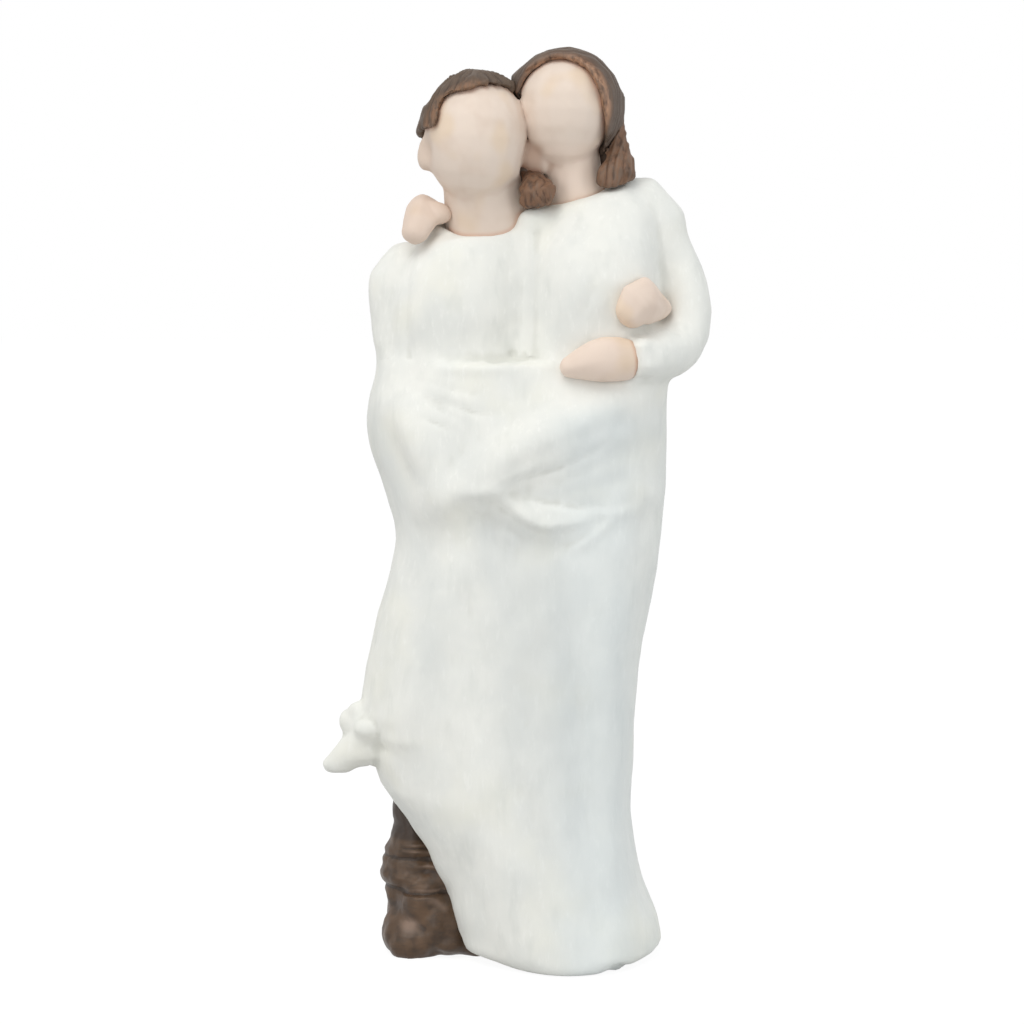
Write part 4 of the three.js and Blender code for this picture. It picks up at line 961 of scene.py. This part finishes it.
boots = {
    "parts": [
        ("rightLeg", "shorter_right_leg", "right", "over"),
        ("leftLeg", "shorter_left_leg", "left", "over"),
        ("rightBoot", "shorter_right_shoe", "right", "under"),
        ("leftBoot", "shorter_left_shoe", "left", "under"),
    ],
    "cuts": {  # each is a place on the cut and the way that falls off
        "right": ((-12, 0, 0), (1, 0, 0)), "left": ((-12, 0, 0), (-1, 0, 0)),
        "over": ((0, 0, 9), (0, 0, -1)), "under": ((0, 0, 9), (0, 0, 1)),
    },
    "toe": {"at": (-17.7, 5.5), "reach": (1.8, 1.5)},
    "paintedHighlight": (0, -3),  # depths between which the front gets painted highlight
    "dark": {"heights": (18.2, 20), "share": 0.95},  # painted shade on the legs under the wrap
    "grains": [{"size": 2.4, "seed": 5.5, "height": 0.35}, {"size": 0.9, "seed": 6.5, "height": 0.06}],
}
bootJoint = {
    "nodes": [part[1] for part in boots["parts"]], "grow": 0.5, "size": 0.26, "rounds": 26, "swell": 0.25,
    "reach": 0.8, "kept": True,
    "lumps": [  # fill the groove between the two boots
        {"at": (-11.3, -0.6, 6), "size": (3.8, 5.6, 7)}, {"at": (-12, -0.4, 14), "size": (3.2, 3.8, 6.5)},
        {"at": (-11, -1, 2.4), "size": (4.5, 5.6, 3)}, {"at": (-13.4, -1.9, 5.6), "size": (3.4, 4.9, 6)},
        {"at": (-15, -1.9, 8.8), "size": (4.8, 4.3, 4.4)},
    ],
    "nudges": [{"at": (-21.4, 19.8), "reach": (2.8, 2.8), "move": (1, 0), "deep": True}],
}
creases = [
    {"path": [(-20, 18.1, 0), (-18.4, 18.3, 0.35), (-16, 18.3, 0.35), (-14.5, 18, 0)],
     "above": 0.35, "below": 0.3},
    {"path": [(-20, 17.1, 0), (-18.4, 17.3, 0.3), (-16, 17.3, 0.3), (-14, 16.9, 0)],
     "above": 0.3, "below": 0.35},
    {"path": [(-24, 16.3, -0.3), (-18, 16, -0.5), (-11, 16.2, -0.5)], "above": 0.5, "below": 0.5},
    {"path": [(-18, 14.6, 0), (-16, 14.9, 0.35), (-13.5, 15, 0.35), (-12, 14.7, 0)],
     "above": 0.3, "below": 0.5},
    {"path": [(-24, 13, 0.35), (-18, 12.8, 0.55), (-11, 13, 0.4)], "above": 1, "below": 1},
    {"path": [(-24, 11, -0.3), (-18, 10.8, -0.5), (-11, 11, -0.45)], "above": 0.5, "below": 0.5},
    {"path": [(-19, 9.8, 0), (-17, 10.1, 0.3), (-13.5, 10, 0.3), (-12, 9.7, 0)], "above": 0.4, "below": 0.8},
]
highlightStreaks = [  # painted highlight lines along the creases
    {"path": [(-19.4, 18.2, 0.2), (-17, 18.3, 0.7), (-14.8, 18.3, 0.5)], "above": 0.3, "below": 0.3},
    {"path": [(-19.4, 17.2, 0.2), (-17, 17.3, 0.7), (-14.2, 17.1, 0.4)], "above": 0.3, "below": 0.3},
    {"path": [(-16.6, 14.8, 0.3), (-15, 14.9, 0.8), (-13.2, 15, 0.5)], "above": 0.28, "below": 0.28},
    {"path": [(-20, 11, 0.2), (-16, 11.2, 0.5), (-12, 11.3, 0.6)], "above": 0.35, "below": 0.35},
    {"path": [(-19, 12.4, 0), (-18.4, 13.6, 0.5), (-17.6, 14.6, 0)], "above": 0.5, "below": 0.5},
    {"path": [(-15, 9.8, 0.3), (-13.4, 9.6, 0.6), (-11.8, 8.4, 0.5)], "above": 0.8, "below": 0.8},
]


def bootRelief(co, normal):
    return drawn(co, creases) + sum(grain(co, **one) for one in boots["grains"])


def paintedHighlight(co):
    paintedLight = spot(co, boots["toe"]["at"], boots["toe"]["reach"]) + drawn(co, highlightStreaks)
    return np.clip(paintedLight, 0, 1) * smoothstep(*boots["paintedHighlight"], co[:, 1])


bootSkin = softJoint(bootJoint, bootRelief)
darkPaint = bootPaint("bootPaint")
for name, node, side, level in boots["parts"]:
    bm = bmesh.new()
    bm.from_mesh(bootSkin["body"].data)
    for cut in (boots["cuts"][side], boots["cuts"][level]):
        geom = bm.verts[:] + bm.edges[:] + bm.faces[:]
        place, way = Vector(cut[0]) * mm, Vector(cut[1])
        bmesh.ops.bisect_plane(bm, geom=geom, plane_co=place, plane_no=way, clear_outer=True)
        bmesh.ops.holes_fill(bm, edges=[e for e in bm.edges if e.is_boundary])
    obj = asObject(bm, name)
    sunk = settle(obj, bootSkin, bootJoint["reach"])
    co = places(obj)
    markHollows(obj, np.maximum(sunk, boots["dark"]["share"] * smoothstep(*boots["dark"]["heights"], co[:, 2])))
    mark(obj, "paintedHighlight", paintedHighlight(co))
    finished(obj, node, darkPaint)
bpy.data.objects.remove(bootSkin["body"])


# Floor, light and camera, in metres

studio = {
    "floor": 3.0, "paper": (0.6, 0.6, 0.6, 1), "glow": 1.16, "glowShare": 0.8,  # how white the floor looks
    "room": (0.97, 0.985, 1, 1), "roomLight": 0.66, "white": (1, 1, 1, 1), "backdropLight": 1.0,
    "distance": 0.5, "elevation": 5.0, "aim": (-0.0008, 0, 0.0752),
    "lens": 106.63, "shift": -0.0094, "clip": 0.01,
    "lampAim": (0, 0, 0.075),
}
lamps = [
    {"name": "key", "at": (-0.22, -0.38, 0.8), "size": 0.5, "power": 2.65, "tint": (1, 0.985, 0.95)},
    {"name": "side", "at": (0.8, -0.3, 0.12), "size": 0.6, "power": 1.95, "tint": (0.92, 0.97, 1)},
    {"name": "front", "at": (-0.5, -0.75, 0.12), "size": 0.5, "power": 1.75, "tint": (1, 0.99, 0.97)},
]


def shining(tree, kind, tone, strength):
    node = tree.nodes.new(kind)
    node.inputs["Color"].default_value = tone
    node.inputs["Strength"].default_value = strength
    return node.outputs[0]


def maths(tree, operation, a, b):
    node = tree.nodes.new("ShaderNodeMath")
    node.operation = operation
    node.use_clamp = True
    tree.links.new(a, node.inputs[0])
    if isinstance(b, float):
        node.inputs[1].default_value = b
    else:
        tree.links.new(b, node.inputs[1])
    return node.outputs[0]


def looks(tree):  # 1 for what the camera sees, straight or by mirror or glass
    rays = tree.nodes.new("ShaderNodeLightPath").outputs
    direct = maths(tree, "ADD", rays["Is Camera Ray"], rays["Is Glossy Ray"])
    return maths(tree, "ADD", direct, rays["Is Transmission Ray"])


def blended(tree, share, a, b, kind):
    blend = tree.nodes.new("ShaderNodeMixShader")
    for socket, value in zip(blend.inputs, (share, a, b)):
        tree.links.new(value, socket)
    tree.links.new(blend.outputs[0], tree.nodes.new(kind).inputs["Surface"])


bm = bmesh.new()
bmesh.ops.create_grid(bm, x_segments=1, y_segments=1, size=studio["floor"])
floor = asObject(bm, "floor")
paper = bpy.data.materials.new("paper")
paper.use_nodes = True
tree = paper.node_tree
tree.nodes.clear()
diffuse = tree.nodes.new("ShaderNodeBsdfDiffuse")
diffuse.inputs["Color"].default_value = studio["paper"]
glow = shining(tree, "ShaderNodeEmission", studio["white"], studio["glow"])
glowing = maths(tree, "MULTIPLY", looks(tree), studio["glowShare"])
blended(tree, glowing, diffuse.outputs[0], glow, "ShaderNodeOutputMaterial")
floor.data.materials.append(paper)

world = bpy.data.worlds.new("studio")
scene.world = world
world.use_nodes = True
tree = world.node_tree
tree.nodes.clear()
room = shining(tree, "ShaderNodeBackground", studio["room"], studio["roomLight"])
backdrop = shining(tree, "ShaderNodeBackground", studio["white"], studio["backdropLight"])
blended(tree, looks(tree), room, backdrop, "ShaderNodeOutputWorld")

for lamp in lamps:
    light = bpy.data.lights.new(lamp["name"], "AREA")
    light.energy = lamp["power"]
    light.size = lamp["size"]
    light.color = lamp["tint"]
    obj = bpy.data.objects.new(lamp["name"], light)
    obj.location = lamp["at"]
    obj.rotation_mode = "QUATERNION"
    obj.rotation_quaternion = (Vector(studio["lampAim"]) - obj.location).to_track_quat("-Z", "Y")
    scene.collection.objects.link(obj)

lift = math.radians(studio["elevation"])
away = Vector((0, -math.cos(lift), math.sin(lift)))
view = bpy.data.cameras.new("camera")
view.lens = studio["lens"]
view.shift_y = studio["shift"]
view.clip_start = studio["clip"]
camera = bpy.data.objects.new("camera", view)
camera.location = Vector(studio["aim"]) + away * studio["distance"]
camera.rotation_mode = "QUATERNION"
camera.rotation_quaternion = (-away).to_track_quat("-Z", "Y")
scene.collection.objects.link(camera)
scene.camera = camera
scene.view_settings.view_transform = "Standard"
print("studio ready")
